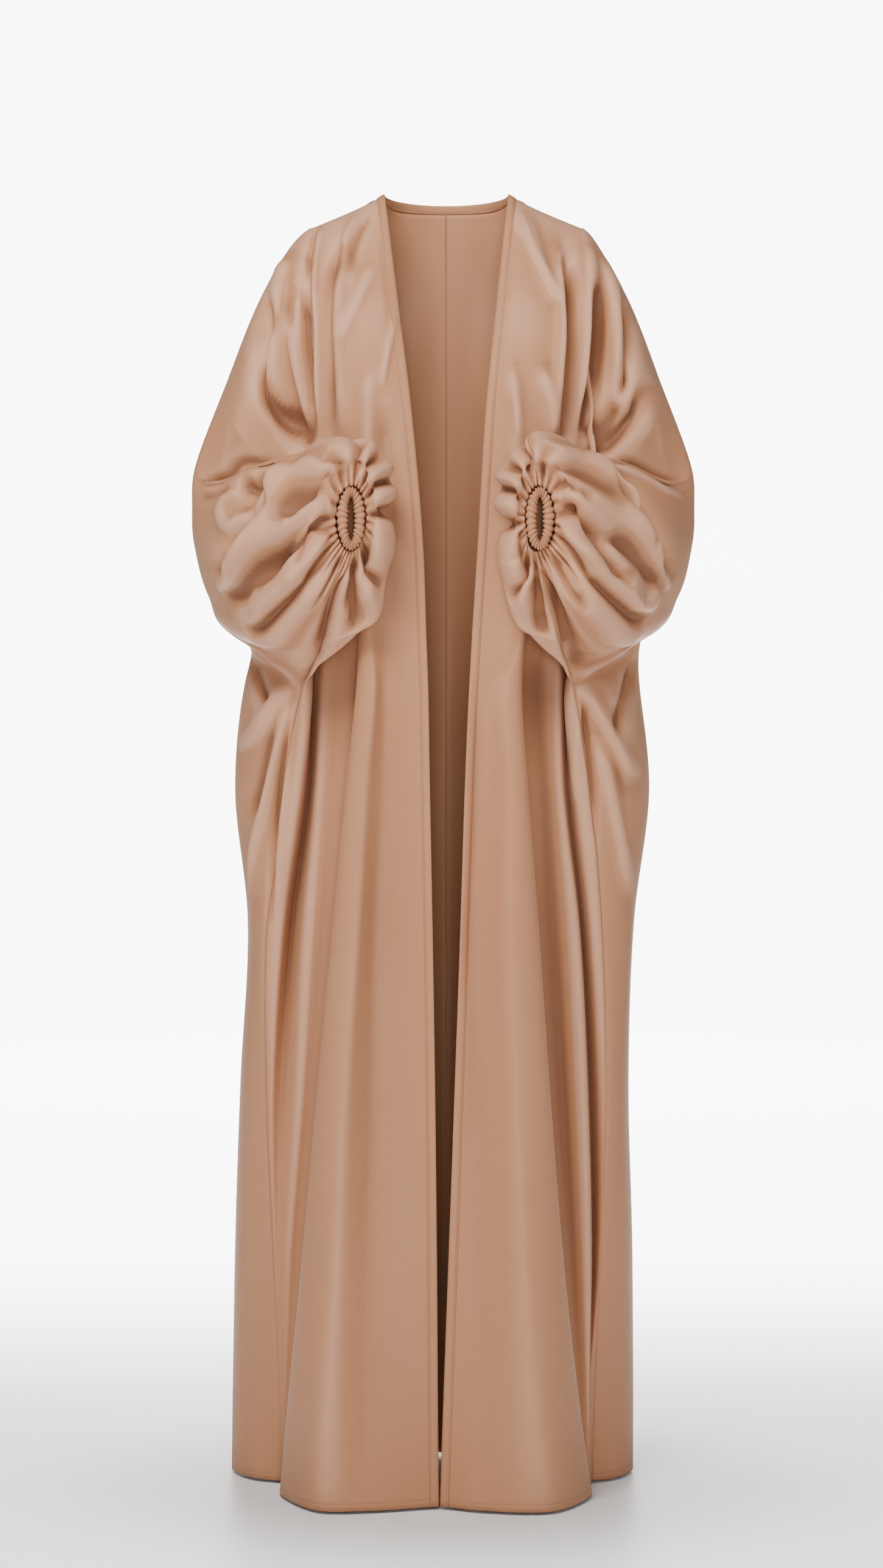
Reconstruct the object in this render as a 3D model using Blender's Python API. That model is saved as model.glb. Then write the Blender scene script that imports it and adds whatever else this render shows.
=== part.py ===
"""Open-front abaya cloak, cut with sleeves in one with the body and gathered cuffs.

Worn form with nobody in it: two fronts, two backs, turned front and neck bands, two elastic
cuffs. Metres, +Z up, the front faces -Y. The wearer's right side is at -X. The origin is on the
shoulder line, midway between the two neck points, and the hem hangs at HEM_LEVEL.
"""
import bmesh
import bpy
import numpy as np
from mathutils import Vector

MM = 0.001
WALL = 1.2 * MM            # crepe, thickened to a wall that can be built
BAND_WALL = 2.0 * MM       # the turned edge is two layers
SEAM = 0.3 * MM            # each piece stops this far short of its seam
SEAM_LOOK = 0.2            # of a stretch, how far inside a seam its cloth's direction is read
CORNER_PULL = 1.8          # mm, each corner draws back at the underarm, where four edges meet
BAND_CREASE = 0.8          # mm, the neck band leans back and needs this much room
BAND_WIDTH = 10.0          # mm, front edge to stitch line
HEM_LEVEL = -1520.0        # mm
NECK_HALF = 73.0           # mm, neck point from the middle
NECK_DEPTH = 66.0          # mm, back neckline behind the shoulder line
NECK_DROP = -3.0           # mm, back neckline at the middle
BACK_NECK_Z = -13.0        # mm, stitch line of the neck band at the centre back
CUFF_WAVES = 28
CUFF_RADIUS = 6.0          # mm, of the gathered casing
CUFF_CLEARANCE = 1.0       # mm, from the middle of the sleeve's wall
CUFF_FORWARD = 2.0         # mm, the casing stands this far in front of the mouth
CUFF_SIDES = 5
CUFF_SAMPLES = 3           # for each gather
CUFF_SWELL = 0.18          # of the casing's radius, up and down at each gather
GATHER_DEPTH = 1.6         # mm, of the gathers where the sleeve meets its casing
GATHER_START = 8.4         # sleeve section where the gathers begin
SHOULDER_RUN = 91.0        # mm, from the neck point to the sleeve head
SHOULDER_FALL = 42.0       # mm, over that run
SHOULDER_CURVE = 0.85
NECK_STEPS = 8             # for each half of the neck band
FOLD_FACING = 2.5          # a fold keeps its full height until the cloth turns this far away
FOLD_TAPER = (0.22, 0.7)   # of a fold's length at each end, and the power it fades with
SLOPE_LIMIT = 1.8          # a fold line is no steeper than this many times its shorter neighbour
CLOTH_ROUGHNESS = 0.6
CLOTH_COLOR = (0.545, 0.335, 0.220, 1.0)
BAND_COLOR = (0.520, 0.315, 0.205, 1.0)

# Heights in mm at which every fold line below is placed.
LEVELS = ("shoulder", "chest", "bust", "waist", "hip", "underarm",
          "thigh", "knee", "calf", "shin", "ankle", "hem")
LEVEL_Z = (0, -130, -270, -420, -530, -585, -700, -860, -1050, -1250, -1420, HEM_LEVEL)
LEVEL_STEPS = (4, 3, 3, 2, 2, 2, 2, 2, 2, 2, 1)
UNDERARM = LEVELS.index("underarm")

# Fold lines of the fronts, from the open edge to the side seam. Each row is one line and holds
# (x, y) in mm at each level, with the shoulder point first.
FRONT_STEPS = (1, 2, 2, 2, 2, 1, 1, 2, 2, 2)
FRONT_RIGHT = {
    "edge": [(-73, 0), (-57, -78), (-40, -116), (-27, -130), (-23, -135), (-21, -138),
             (-19, -140), (-16, -143), (-13, -147), (-11, -150), (-10, -153), (-9, -155)],
    "valley": [(-90, 0), (-78, -87), (-74, -120), (-72, -128), (-71, -127), (-71, -126),
               (-74, -126), (-83, -128), (-88, -138), (-91, -155), (-92, -170), (-92, -182)],
    "belly": [(-100, 0), (-98, -88), (-97, -119), (-92, -131), (-87, -137), (-84, -142),
              (-93, -148), (-103, -155), (-117, -165), (-128, -175), (-140, -181), (-146, -180)],
    "crest": [(-111, 0), (-118, -84), (-113, -112), (-104, -122), (-100, -126), (-103, -128),
              (-115, -132), (-130, -135), (-148, -135), (-166, -128), (-183, -108), (-192, -84)],
    "turn": [(-122, 0), (-128, -80), (-125, -104), (-115, -104), (-105, -92), (-101, -86),
             (-110, -84), (-121, -80), (-139, -74), (-157, -64), (-174, -48), (-184, -34)],
    "floor": [(-132, 0), (-137, -76), (-134, -96), (-127, -90), (-124, -76), (-128, -72),
              (-135, -68), (-146, -64), (-159, -60), (-175, -50), (-184, -32), (-189, -12)],
    "shelf": [(-141, 0), (-145, -72), (-143, -88), (-140, -82), (-139, -70), (-144, -66),
              (-150, -64), (-162, -64), (-171, -62), (-184, -52), (-189, -30), (-192, -8)],
    "gap": [(-149, 0), (-154, -68), (-153, -80), (-152, -74), (-153, -60), (-158, -44),
            (-162, -36), (-181, -32), (-192, -42), (-195, -44), (-192, -26), (-193, -4)],
    "pleat": [(-157, 0), (-162, -64), (-161, -73), (-160, -75), (-158, -80), (-156, -90),
              (-169, -82), (-192, -62), (-204, -50), (-201, -42), (-195, -23), (-194, -2)],
    "side": [(-164, 0), (-173, -60), (-171, -66), (-169, -76), (-162, -95), (-167, -100),
             (-189, -78), (-210, -55), (-212, -42), (-204, -35), (-196, -18), (-194, 0)],
}
FRONT_LEFT = {
    "edge": [(73, 0), (59, -78), (45, -116), (36, -130), (29, -135), (26, -138),
             (21, -140), (16, -143), (9, -147), (2, -150), (-4, -153), (-7, -155)],
    "valley": [(90, 0), (78, -87), (73, -121), (72, -131), (69, -134), (51, -134),
               (47, -134), (41, -136), (39, -142), (39, -155), (39, -168), (39, -180)],
    "belly": [(100, 0), (98, -88), (96, -119), (90, -131), (85, -138), (71, -144),
              (73, -150), (74, -158), (81, -166), (91, -176), (104, -184), (118, -186)],
    "crest": [(113, 0), (118, -84), (113, -112), (103, -122), (90, -126), (86, -130),
              (93, -134), (105, -136), (118, -136), (134, -130), (153, -114), (167, -92)],
    "turn": [(123, 0), (128, -80), (124, -104), (113, -104), (94, -92), (84, -86),
             (88, -84), (97, -80), (109, -74), (124, -64), (143, -52), (158, -44)],
    "floor": [(133, 0), (136, -76), (134, -96), (126, -90), (111, -74), (107, -64),
              (113, -60), (122, -54), (134, -50), (146, -46), (155, -40), (163, -28)],
    "shelf": [(142, 0), (145, -72), (143, -88), (139, -82), (131, -70), (131, -66),
              (134, -64), (151, -60), (161, -60), (166, -54), (166, -42), (168, -20)],
    "gap": [(150, 0), (154, -68), (152, -80), (151, -74), (147, -60), (140, -46),
            (143, -40), (158, -24), (168, -12), (172, -10), (166, -27), (166, -16)],
    "pleat": [(157, 0), (162, -64), (161, -73), (160, -75), (151, -80), (138, -90),
              (150, -78), (169, -56), (179, -36), (178, -24), (170, -21), (169, -8)],
    "side": [(164, 0), (172, -60), (171, -66), (169, -76), (153, -92), (147, -100),
             (167, -78), (182, -55), (187, -40), (181, -28), (175, -14), (173, 0)],
}

# Fold lines of the right back, from the centre-back seam round to the side seam.
BACK_STEPS = (1, 1, 1, 1, 2, 2, 2, 2, 2)
BACK_RIGHT = {
    "centre": [(0, 68), (0, 90), (0, 98), (0, 100), (0, 104), (0, 108),
               (0, 120), (0, 134), (0, 148), (0, 164), (0, 178), (0, 186)],
    "nape": [(-55, 50), (-42, 96), (-45, 108), (-48, 114), (-50, 120), (-50, 126),
             (-50, 138), (-49, 154), (-48, 170), (-46, 186), (-45, 198), (-45, 204)],
    "neck": [(-83, 0), (-80, 96), (-88, 112), (-95, 112), (-98, 112), (-98, 114),
             (-96, 122), (-95, 134), (-94, 150), (-92, 166), (-91, 178), (-91, 186)],
    "blade": [(-98, 0), (-105, 92), (-115, 112), (-128, 120), (-138, 124), (-140, 128),
              (-138, 138), (-137, 150), (-137, 166), (-137, 182), (-138, 193), (-138, 200)],
    "fold": [(-111, 0), (-118, 88), (-130, 112), (-150, 118), (-170, 118), (-178, 118),
             (-180, 122), (-180, 132), (-182, 144), (-184, 158), (-186, 168), (-187, 172)],
    "wing": [(-123, 0), (-130, 84), (-142, 112), (-170, 116), (-200, 112), (-212, 105),
             (-215, 108), (-214, 115), (-220, 125), (-225, 140), (-228, 150), (-230, 155)],
    "flank": [(-135, 0), (-140, 79), (-152, 110), (-186, 112), (-220, 95), (-233, 75),
              (-244, 70), (-234, 75), (-243, 85), (-250, 92), (-255, 98), (-257, 103)],
    "outer": [(-146, 0), (-148, 74), (-161, 107), (-198, 104), (-230, 70), (-240, 20),
              (-249, 8), (-235, 20), (-244, 28), (-250, 35), (-250, 45), (-250, 52)],
    "wrap": [(-157, 0), (-155, 68), (-169, 103), (-208, 92), (-233, 40), (-213, -56),
             (-222, -52), (-224, -28), (-232, -18), (-232, -8), (-227, 8), (-226, 16)],
}
# The left back mirrors the right one and is pulled in by the seam that hangs nearer the middle.
LEFT_BACK_SPREAD = (1, 1, 1, 1, 0.99, 0.955, 0.96, 0.945, 0.885, 0.88, 0.875, 0.87)

# Sleeve, as ten lines from the armhole (first) to the flower round the cuff (last), (x, y, z) in
# mm on the right side. The inner lines belong to the front, the outer ones to the back.
SLEEVE_STEPS = (1, 1, 2, 2, 2, 1, 2, 2, 1, 1)
FINE_SLEEVE = 7            # from this sleeve section on, the grid is twice as fine
CROOK = (3.2, 6.6, 0.9, 3.4)   # first and last section, first and last row, of the soft elbow fold
CROOK_ROUNDS = 12
ARMPIT = (-200, -38, -548, 50)   # middle and radius of the soft turn behind the underarm
ARMPIT_ROUNDS = 5
SLEEVE = {
    "over": [(-164, 0, -42), (-190, 4, -70), (-221, 8, -124), (-256, 8, -211), (-296, 0, -330),
             (-268, -50, -343), (-217, -98, -327), (-163, -140, -317), (-99, -185, -302),
             (-100, -222, -329)],
    "inner_1": [(-173, -60, -130), (-188, -48, -145), (-213, -62, -182), (-243, -50, -260),
                (-262, -26, -350), (-254, -42, -354), (-212, -80, -348), (-150, -128, -332),
                (-70, -174, -337), (-83, -219, -350)],
    "inner_2": [(-171, -66, -270), (-181, -60, -278), (-196, -64, -298), (-208, -66, -325),
                (-210, -68, -352), (-202, -76, -362), (-176, -98, -366), (-128, -144, -368),
                (-65, -176, -376), (-76, -214, -382)],
    "inner_3": [(-169, -76, -420), (-171, -80, -414), (-172, -83, -409), (-173, -87, -405),
                (-173, -91, -402), (-169, -98, -403), (-152, -116, -411), (-110, -150, -430),
                (-67, -174, -438), (-78, -208, -430)],
    "inner_4": [(-162, -95, -530), (-159, -101, -533), (-155, -108, -537), (-150, -114, -541),
                (-146, -121, -543), (-134, -132, -541), (-118, -145, -535), (-99, -159, -521),
                (-84, -170, -500), (-93, -204, -467)],
    "under": [(-167, -100, -585), (-164, -107, -581), (-161, -113, -577), (-158, -119, -571),
              (-155, -127, -565), (-152, -136, -558), (-147, -147, -547), (-141, -160, -534),
              (-133, -178, -511), (-117, -208, -468)],
    "outer_4": [(-243, 6, -518), (-249, -2, -518), (-252, -12, -520), (-253, -24, -520),
                (-248, -38, -521), (-238, -72, -528), (-222, -106, -534), (-205, -136, -537),
                (-182, -164, -528), (-140, -208, -481)],
    "outer_3": [(-219, 72, -440), (-241, 64, -447), (-262, 50, -456), (-279, 24, -465),
                (-280, -6, -475), (-267, -55, -481), (-252, -100, -488), (-236, -135, -496),
                (-214, -167, -497), (-160, -218, -468)],
    "outer_2": [(-181, 93, -282), (-210, 98, -304), (-250, 88, -345), (-284, 58, -385),
                (-298, 10, -415), (-281, -60, -421), (-256, -110, -421), (-235, -136, -419),
                (-218, -167, -414), (-160, -224, -410)],
    "outer_1": [(-162, 62, -130), (-192, 70, -155), (-228, 68, -205), (-266, 56, -290),
                (-301, 12, -373), (-272, -58, -375), (-233, -104, -364), (-196, -132, -354),
                (-177, -167, -338), (-136, -222, -343)],
}
# The sleeve mouth is an upright ellipse; each line meets it at its own angle in degrees.
MOUTH_CENTRE = (-107.5, -210.0, -398.0)
MOUTH_HALF = (17.0, 37.0)
MOUTH_ANGLE = {"over": 82, "inner_1": 50, "inner_2": 12, "inner_3": -20, "inner_4": -55,
               "under": -88, "outer_4": -112, "outer_3": -140, "outer_2": -175, "outer_1": -228}
LEFT_SLEEVE_SPREAD = 0.975
LEFT_UNDERARM_SHIFT = {"under": -15, "inner_4": -9, "outer_4": -6}   # mm, at the corner

# Soft folds laid over the panels, seen from the front: (x, z) in mm along each fold. `first` is
# the sleeve section where a sleeve fold may begin, so that it stays on the near layer.
# name, region, first, width, height, path
FOLDS_RIGHT = (
    ("armhole ridge", "any", 0, 7, 7, [(-165, -80), (-156, -137), (-156, -175), (-154, -221),
                                       (-152, -310)]),
    ("armhole gap", "any", 0, 8, -9, [(-174, -110), (-167, -150), (-166, -185), (-163, -230),
                                      (-161, -300)]),
    ("chest gap", "body", 0, 9, -7, [(-118, -59), (-131, -94), (-137, -140), (-136, -222), (-134, -301)]),
    ("chest ridge", "body", 0, 10, 5, [(-119, -76), (-127, -129), (-128, -170), (-121, -240),
                                       (-118, -297)]),
    ("neck ridge", "body", 0, 7, 4, [(-97, -26), (-112, -47), (-119, -68), (-122, -90)]),
    ("neck gap", "body", 0, 7, -4, [(-92, -28), (-101, -45), (-110, -75), (-112, -105)]),
    ("waist ridge", "body", 0, 12, 4, [(-85, -215), (-90, -246), (-90, -300), (-92, -360)]),
    ("waist gap", "body", 0, 13, -4, [(-67, -259), (-71, -302), (-65, -353), (-62, -420)]),
    ("arm ridge", "any", 0, 10, 6, [(-188, -77), (-195, -103), (-200, -129), (-201, -152)]),
    ("arm edge", "any", 0, 9, 6, [(-195, -146), (-185, -167), (-175, -207), (-166, -252), (-161, -299)]),
    ("arm gap", "any", 0, 12, -12, [(-210, -125), (-215, -162), (-215, -200), (-205, -247),
                                    (-185, -275), (-160, -308)]),
    ("elbow crease", "sleeve", 3, 8, -4, [(-294, -344), (-273, -341), (-256, -335), (-242, -322),
                                          (-208, -324), (-181, -320)]),
    ("elbow fine crease", "sleeve", 3, 7, -3, [(-294, -358), (-278, -360), (-262, -355), (-251, -350)]),
    ("pouch ridge", "sleeve", 3, 9, 7, [(-247, -354), (-258, -371), (-258, -389), (-250, -400),
                                        (-239, -395), (-225, -382), (-207, -365), (-189, -342)]),
    ("pouch hollow", "sleeve", 3, 12, -10, [(-240, -348), (-225, -352), (-203, -343)]),
    ("forearm ridge", "sleeve", 4, 12, 10, [(-178, -332), (-188, -352), (-204, -380), (-217, -405),
                                            (-234, -438), (-248, -458), (-264, -471)]),
    ("forearm hollow", "sleeve", 3, 12, -8, [(-197, -337), (-215, -375), (-233, -410), (-252, -440),
                                             (-274, -455)]),
    ("cuff gap 1", "sleeve", 6, 8, -9, [(-128, -366), (-157, -375), (-175, -388), (-182, -398)]),
    ("cuff ridge 1", "sleeve", 6, 9, 6, [(-128, -376), (-157, -408), (-183, -428), (-199, -443)]),
    ("cuff gap 2", "sleeve", 6, 8, -9, [(-130, -392), (-166, -419), (-192, -441), (-210, -469)]),
    ("cuff ridge 2", "sleeve", 6, 9, 6, [(-128, -402), (-155, -426), (-168, -445), (-172, -476)]),
    ("cuff gap 3", "sleeve", 6, 7, -4, [(-104, -440), (-104, -465), (-107, -498), (-114, -510)]),
    ("cuff gap 4", "sleeve", 6, 6, -6, [(-92, -425), (-90, -450), (-97, -487)]),
    ("overarm gap", "sleeve", 6, 6, -6, [(-100, -302), (-98, -323), (-96, -350)]),
    ("corner crease", "any", 0, 8, -7, [(-232, -542), (-224, -567), (-215, -590), (-208, -606)]),
    ("corner ridge", "body", 0, 10, 6, [(-177, -591), (-190, -594), (-204, -605), (-219, -632),
                                        (-244, -657)]),
    ("side ridge", "body", 0, 11, 7, [(-178, -600), (-191, -636), (-204, -698), (-216, -750),
                                      (-228, -829)]),
    ("side gap", "body", 0, 12, -5, [(-197, -622), (-215, -680), (-228, -740)]),
)
FOLDS_LEFT = (
    ("shoulder ridge", "body", 0, 10, 5, [(89, -26), (98, -54), (108, -84), (117, -112), (127, -140)]),
    ("chest ridge", "body", 0, 8, 8, [(131, -69), (131, -105), (133, -147), (133, -175),
                                      (128, -233), (125, -290)]),
    ("chest gap", "any", 0, 9, -10, [(142, -80), (144, -120), (146, -170), (143, -235), (139, -300)]),
    ("armhole ridge", "any", 0, 8, 6, [(168, -65), (169, -102), (168, -148), (163, -207), (155, -299)]),
    ("armhole gap", "any", 0, 8, -8, [(178, -100), (178, -150), (173, -207), (164, -290)]),
    ("arm ridge", "any", 0, 10, 6, [(182, -75), (193, -113), (203, -160), (204, -193), (201, -230)]),
    ("arm gap", "any", 0, 9, -7, [(209, -132), (213, -155), (213, -205), (205, -252)]),
    ("arm hollow", "any", 0, 12, -11, [(236, -225), (222, -262), (205, -282), (188, -297), (165, -315)]),
    ("waist ridge", "body", 0, 12, 4, [(74, -215), (79, -258), (80, -300), (80, -340)]),
    ("side waist ridge", "body", 0, 11, 4, [(110, -215), (117, -258), (120, -310)]),
    ("edge gap", "body", 0, 9, -3, [(37, -565), (35, -705), (29, -844), (25, -960)]),
    ("elbow crease", "sleeve", 3, 8, -4, [(178, -326), (191, -325), (210, -324), (228, -330),
                                          (246, -339), (269, -349), (288, -355)]),
    ("forearm ridge", "sleeve", 4, 12, 10, [(155, -324), (172, -341), (190, -357), (203, -374),
                                            (214, -398),
                                            (228, -424), (240, -448), (252, -472)]),
    ("forearm hollow", "sleeve", 3, 12, -6, [(188, -335), (212, -365), (230, -400), (246, -432),
                                             (262, -460)]),
    ("cuff gap 1", "sleeve", 6, 7, -7, [(118, -367), (133, -362), (150, -365)]),
    ("cuff gap 2", "sleeve", 6, 8, -9, [(120, -384), (135, -387), (150, -397), (163, -419),
                                        (185, -454), (203, -476)]),
    ("cuff ridge 1", "sleeve", 6, 9, 6, [(122, -376), (145, -380), (168, -398), (190, -428),
                                         (208, -455)]),
    ("cuff ridge 2", "sleeve", 6, 9, 6, [(122, -398), (142, -412), (155, -436), (168, -470)]),
    ("pouch ridge", "sleeve", 5, 9, 6, [(186, -460), (199, -480), (217, -493), (230, -491),
                                        (238, -475), (237, -460)]),
    ("cuff gap 3", "sleeve", 6, 7, -6, [(100, -436), (99, -465), (106, -500)]),
    ("cuff gap 4", "sleeve", 6, 6, -6, [(86, -425), (84, -450), (92, -487)]),
    ("overarm gap", "sleeve", 6, 6, -6, [(95, -303), (94, -318), (93, -350)]),
    ("corner ridge", "body", 0, 10, 6, [(154, -582), (169, -605), (188, -634), (205, -666), (224, -690)]),
    ("corner crease", "any", 0, 9, -6, [(223, -545), (214, -579), (203, -615), (193, -640)]),
    ("side ridge", "body", 0, 11, 6, [(173, -640), (184, -681), (195, -734), (205, -784), (213, -830)]),
)

RIGHT, LEFT = -1, 1


def clear_scene():
    for item in list(bpy.data.objects):
        bpy.data.objects.remove(item)


def shoulder_z(x):
    """Height of the shoulder line in mm, from the neck point out to the sleeve head."""
    run = max(0.0, (abs(x) - NECK_HALF) / SHOULDER_RUN)
    return -SHOULDER_FALL * run ** SHOULDER_CURVE


def slopes(net, knots):
    """Slope at each row of a net, from the chords on both sides of it."""
    step = np.diff(knots)[:, None, None]
    chord = np.diff(net, axis=0) / step
    slope = np.empty_like(net)
    slope[1:-1] = (chord[:-1] * step[1:] + chord[1:] * step[:-1]) / (step[1:] + step[:-1])
    slope[0], slope[-1] = chord[0], chord[-1]
    length = np.linalg.norm(chord, axis=2)
    most = SLOPE_LIMIT * np.minimum(length[:-1], length[1:])
    size = np.linalg.norm(slope[1:-1], axis=2)
    slope[1:-1] *= np.minimum(1, most / np.maximum(size, 1e-9))[..., None]
    return slope


def mean_knots(net, power=0.6):
    """Knots along the first axis of a net, from the mean spacing of its rows."""
    gaps = np.linalg.norm(np.diff(net, axis=0), axis=2).mean(axis=1)
    return np.concatenate(([0.0], np.cumsum(gaps ** power)))


def hermite(t, step):
    """Weights of start, start slope, end and end slope for a stretch that is `step` long."""
    return ((2 * t ** 3 - 3 * t ** 2 + 1), (t ** 3 - 2 * t ** 2 + t) * step,
            (3 * t ** 2 - 2 * t ** 3), (t ** 3 - t ** 2) * step)


class Sheet:
    """A smooth sheet through a net of lines. The first and last lines each way only steer it."""

    def __init__(self, net, rows=None, columns=None):
        self.rows = mean_knots(net) if rows is None else rows
        self.columns = mean_knots(net.transpose(1, 0, 2)) if columns is None else columns
        self.last = len(self.columns) - 3
        self.place = net
        self.down = slopes(net, self.rows)
        turned = net.transpose(1, 0, 2)
        self.across = slopes(turned, self.columns).transpose(1, 0, 2)
        self.twist = self.twists()

    def twists(self):
        return slopes(self.down.transpose(1, 0, 2), self.columns).transpose(1, 0, 2)

    def share_corner(self, column):
        """Leave the underarm corner straight towards the side and underarm seams.

        All four sheets that meet at the corner do so, and their edges then agree.
        """
        row = UNDERARM + 1
        side_seam = self.place[row + 1, column] - self.place[row, column]
        self.down[row, column] = side_seam / (self.rows[row + 1] - self.rows[row])
        if column == 1:
            underarm_seam = self.place[row, column + 1] - self.place[row, column]
            gap = self.columns[column + 1] - self.columns[column]
            self.across[row, column] = underarm_seam / gap
        self.twist = self.twists()
        return self

    def at(self, u, v):
        """Points in mm at column u and row v, counted in lines from the first real one."""
        u, v = np.asarray(u, float) + 1, np.asarray(v, float) + 1
        i = np.clip(v.astype(int), 1, len(self.rows) - 3)
        j = np.clip(u.astype(int), 1, len(self.columns) - 3)
        down = hermite(v - i, np.diff(self.rows)[i])
        across = hermite(u - j, np.diff(self.columns)[j])
        total = 0
        for a in (0, 1):
            for b in (0, 1):
                spot = (i + a, j + b)
                total = total + (self.place[spot] * (down[2 * a] * across[2 * b])[:, None]
                                 + self.down[spot] * (down[2 * a + 1] * across[2 * b])[:, None]
                                 + self.across[spot] * (down[2 * a] * across[2 * b + 1])[:, None]
                                 + self.twist[spot] * (down[2 * a + 1] * across[2 * b + 1])[:, None])
        return total

    def normal(self, u, v, outward):
        """Unit normals, on the side of the sheet that `outward` gives as +1 or -1."""
        tiny = 0.02
        along = self.at(u + tiny, v) - self.at(u - tiny, v)
        down = self.at(u, v + tiny) - self.at(u, v - tiny)
        cross = np.cross(along, down) * outward
        return cross / np.linalg.norm(cross, axis=1)[:, None]


def beyond(line, inner):
    """A steering line that carries on straight past the last one."""
    return 2 * np.asarray(line, float) - np.asarray(inner, float)


def level_line(table, name):
    """One fold line as an array of (x, y, z), one for each level."""
    points = []
    for level, (x, y) in enumerate(table[name]):
        z = shoulder_z(x) if level == 0 else LEVEL_Z[level]
        points.append((x, y, z))
    return np.array(points, float)


def stitch_line(edge, valley):
    """The line BAND_WIDTH in from the open edge, towards the first fold."""
    towards = valley - edge
    return edge + towards / np.linalg.norm(towards, axis=1)[:, None] * BAND_WIDTH


def mouth_point(degrees):
    """Point of the right sleeve's mouth at an angle seen from the front, 90 at the top."""
    turn = np.radians(degrees)
    return (MOUTH_CENTRE[0] + MOUTH_HALF[0] * np.cos(turn), MOUTH_CENTRE[1],
            MOUTH_CENTRE[2] + MOUTH_HALF[1] * np.sin(turn))


def sleeve_lines(side):
    """The sleeve's lines for one side, by name, as arrays of (x, y, z)."""
    lines = {}
    for name, points in SLEEVE.items():
        line = np.array([*points, mouth_point(MOUTH_ANGLE[name])], float)
        if side == LEFT:
            line[:, 0] *= -LEFT_SLEEVE_SPREAD
            fade = np.linspace(1.0, 0.4, len(line))
            line[:, 0] += LEFT_UNDERARM_SHIFT.get(name, 0) * fade
        lines[name] = line
    return lines


def back_lines(side):
    """The back's fold lines for one side, from the centre to the last one before the seam."""
    lines = []
    for name in BACK_RIGHT:
        line = level_line(BACK_RIGHT, name)
        if name in ("centre", "nape"):
            line[0, 2] = BACK_NECK_Z
        if side == LEFT:
            line[:, 0] *= -np.array(LEFT_BACK_SPREAD)
        lines.append(line)
    return lines


def front_lines(side):
    table = FRONT_RIGHT if side == RIGHT else FRONT_LEFT
    lines = [level_line(table, name) for name in table]
    lines.insert(1, stitch_line(lines[0], lines[1]))
    return lines


def flip_y(line):
    return line * (1, -1, 1)


def body_sheet(before, lines, past_side, neck_lines, rows=None):
    """Sheet over the fold lines; the shoulder is rounded, and the first neck_lines run straight."""
    net = np.stack([before, *lines, past_side], axis=1)
    top = flip_y(net[1])
    top[:neck_lines] = beyond(net[0, :neck_lines], net[1, :neck_lines])
    sheet = Sheet(np.concatenate(([top], net, [beyond(net[-1], net[-2])])), rows)
    return sheet.share_corner(sheet.last + 1)


def sleeve_sheet(body, rows, next_over, next_under, seam, before_seam, columns=None):
    """Sheet over half a sleeve. It leaves the body along the armhole line without a crease."""
    rows = np.stack(rows)
    over, under = next_over.copy(), next_under.copy()
    over[0] = flip_y(rows[1, 0])
    under[0] = seam[UNDERARM + 1]
    net = np.concatenate(([over], rows, [under]))
    first = np.concatenate(([flip_y(before_seam[1])], before_seam[:UNDERARM + 2]))
    last = beyond(net[:, -1], net[:, -2])
    net = np.concatenate((first[:, None], net, last[:, None]), axis=1)
    return Sheet(net, body.rows[:len(net)], columns).share_corner(1)


def front_sheets(side):
    sleeve = sleeve_lines(side)
    rows = [sleeve[name] for name in ("over", "inner_1", "inner_2", "inner_3", "inner_4", "under")]
    lines = front_lines(side)
    seam = lines[-1]
    for level, row in enumerate(rows):
        row[0] = seam[level]
    behind = back_lines(side)[-1]
    past_side = np.concatenate(([row[1] for row in rows[:UNDERARM]], behind[UNDERARM:]))
    body = body_sheet(beyond(lines[0], lines[1]), lines, past_side, 0)
    return body, sleeve_sheet(body, rows, sleeve["outer_1"], sleeve["outer_4"], seam, lines[-2])


def back_sheets(side, front_body, front_sleeve):
    """The back's two sheets; they share the front's knots, so that the seams agree."""
    sleeve = sleeve_lines(side)
    rows = [sleeve[name] for name in ("over", "outer_1", "outer_2", "outer_3", "outer_4", "under")]
    lines = back_lines(side)
    front = front_lines(side)
    armhole = np.concatenate(([row[0] for row in rows[:UNDERARM]], front[-1][UNDERARM:]))
    armhole[0] = front[-1][0]
    lines.append(armhole)
    for level, row in enumerate(rows):
        row[0] = armhole[level]
    past_side = np.concatenate(([row[1] for row in rows[:UNDERARM]], front[-2][UNDERARM:]))
    body = body_sheet(lines[1] * (-1, 1, 1), lines, past_side, 3, front_body.rows)
    return body, sleeve_sheet(body, rows, sleeve["inner_1"], sleeve["inner_4"], armhole, lines[-2],
                              front_sleeve.columns)


def smooth_path(path, count=24):
    """A smooth run of (x, z) points through a fold's own few points."""
    net = np.array(path, float)[:, None, :]
    net = np.concatenate(([2 * net[0] - net[1]], net, [2 * net[-1] - net[-2]]))
    knots = mean_knots(net, 0.5)
    slope = slopes(net, knots)
    out = []
    for value in np.linspace(knots[1], knots[-2], count):
        i = int(np.clip(np.searchsorted(knots, value, side="right") - 1, 1, len(knots) - 3))
        weights = hermite((value - knots[i]) / (knots[i + 1] - knots[i]), knots[i + 1] - knots[i])
        out.append((net[i] * weights[0] + slope[i] * weights[1]
                    + net[i + 1] * weights[2] + slope[i + 1] * weights[3])[0])
    return np.array(out)


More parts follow.
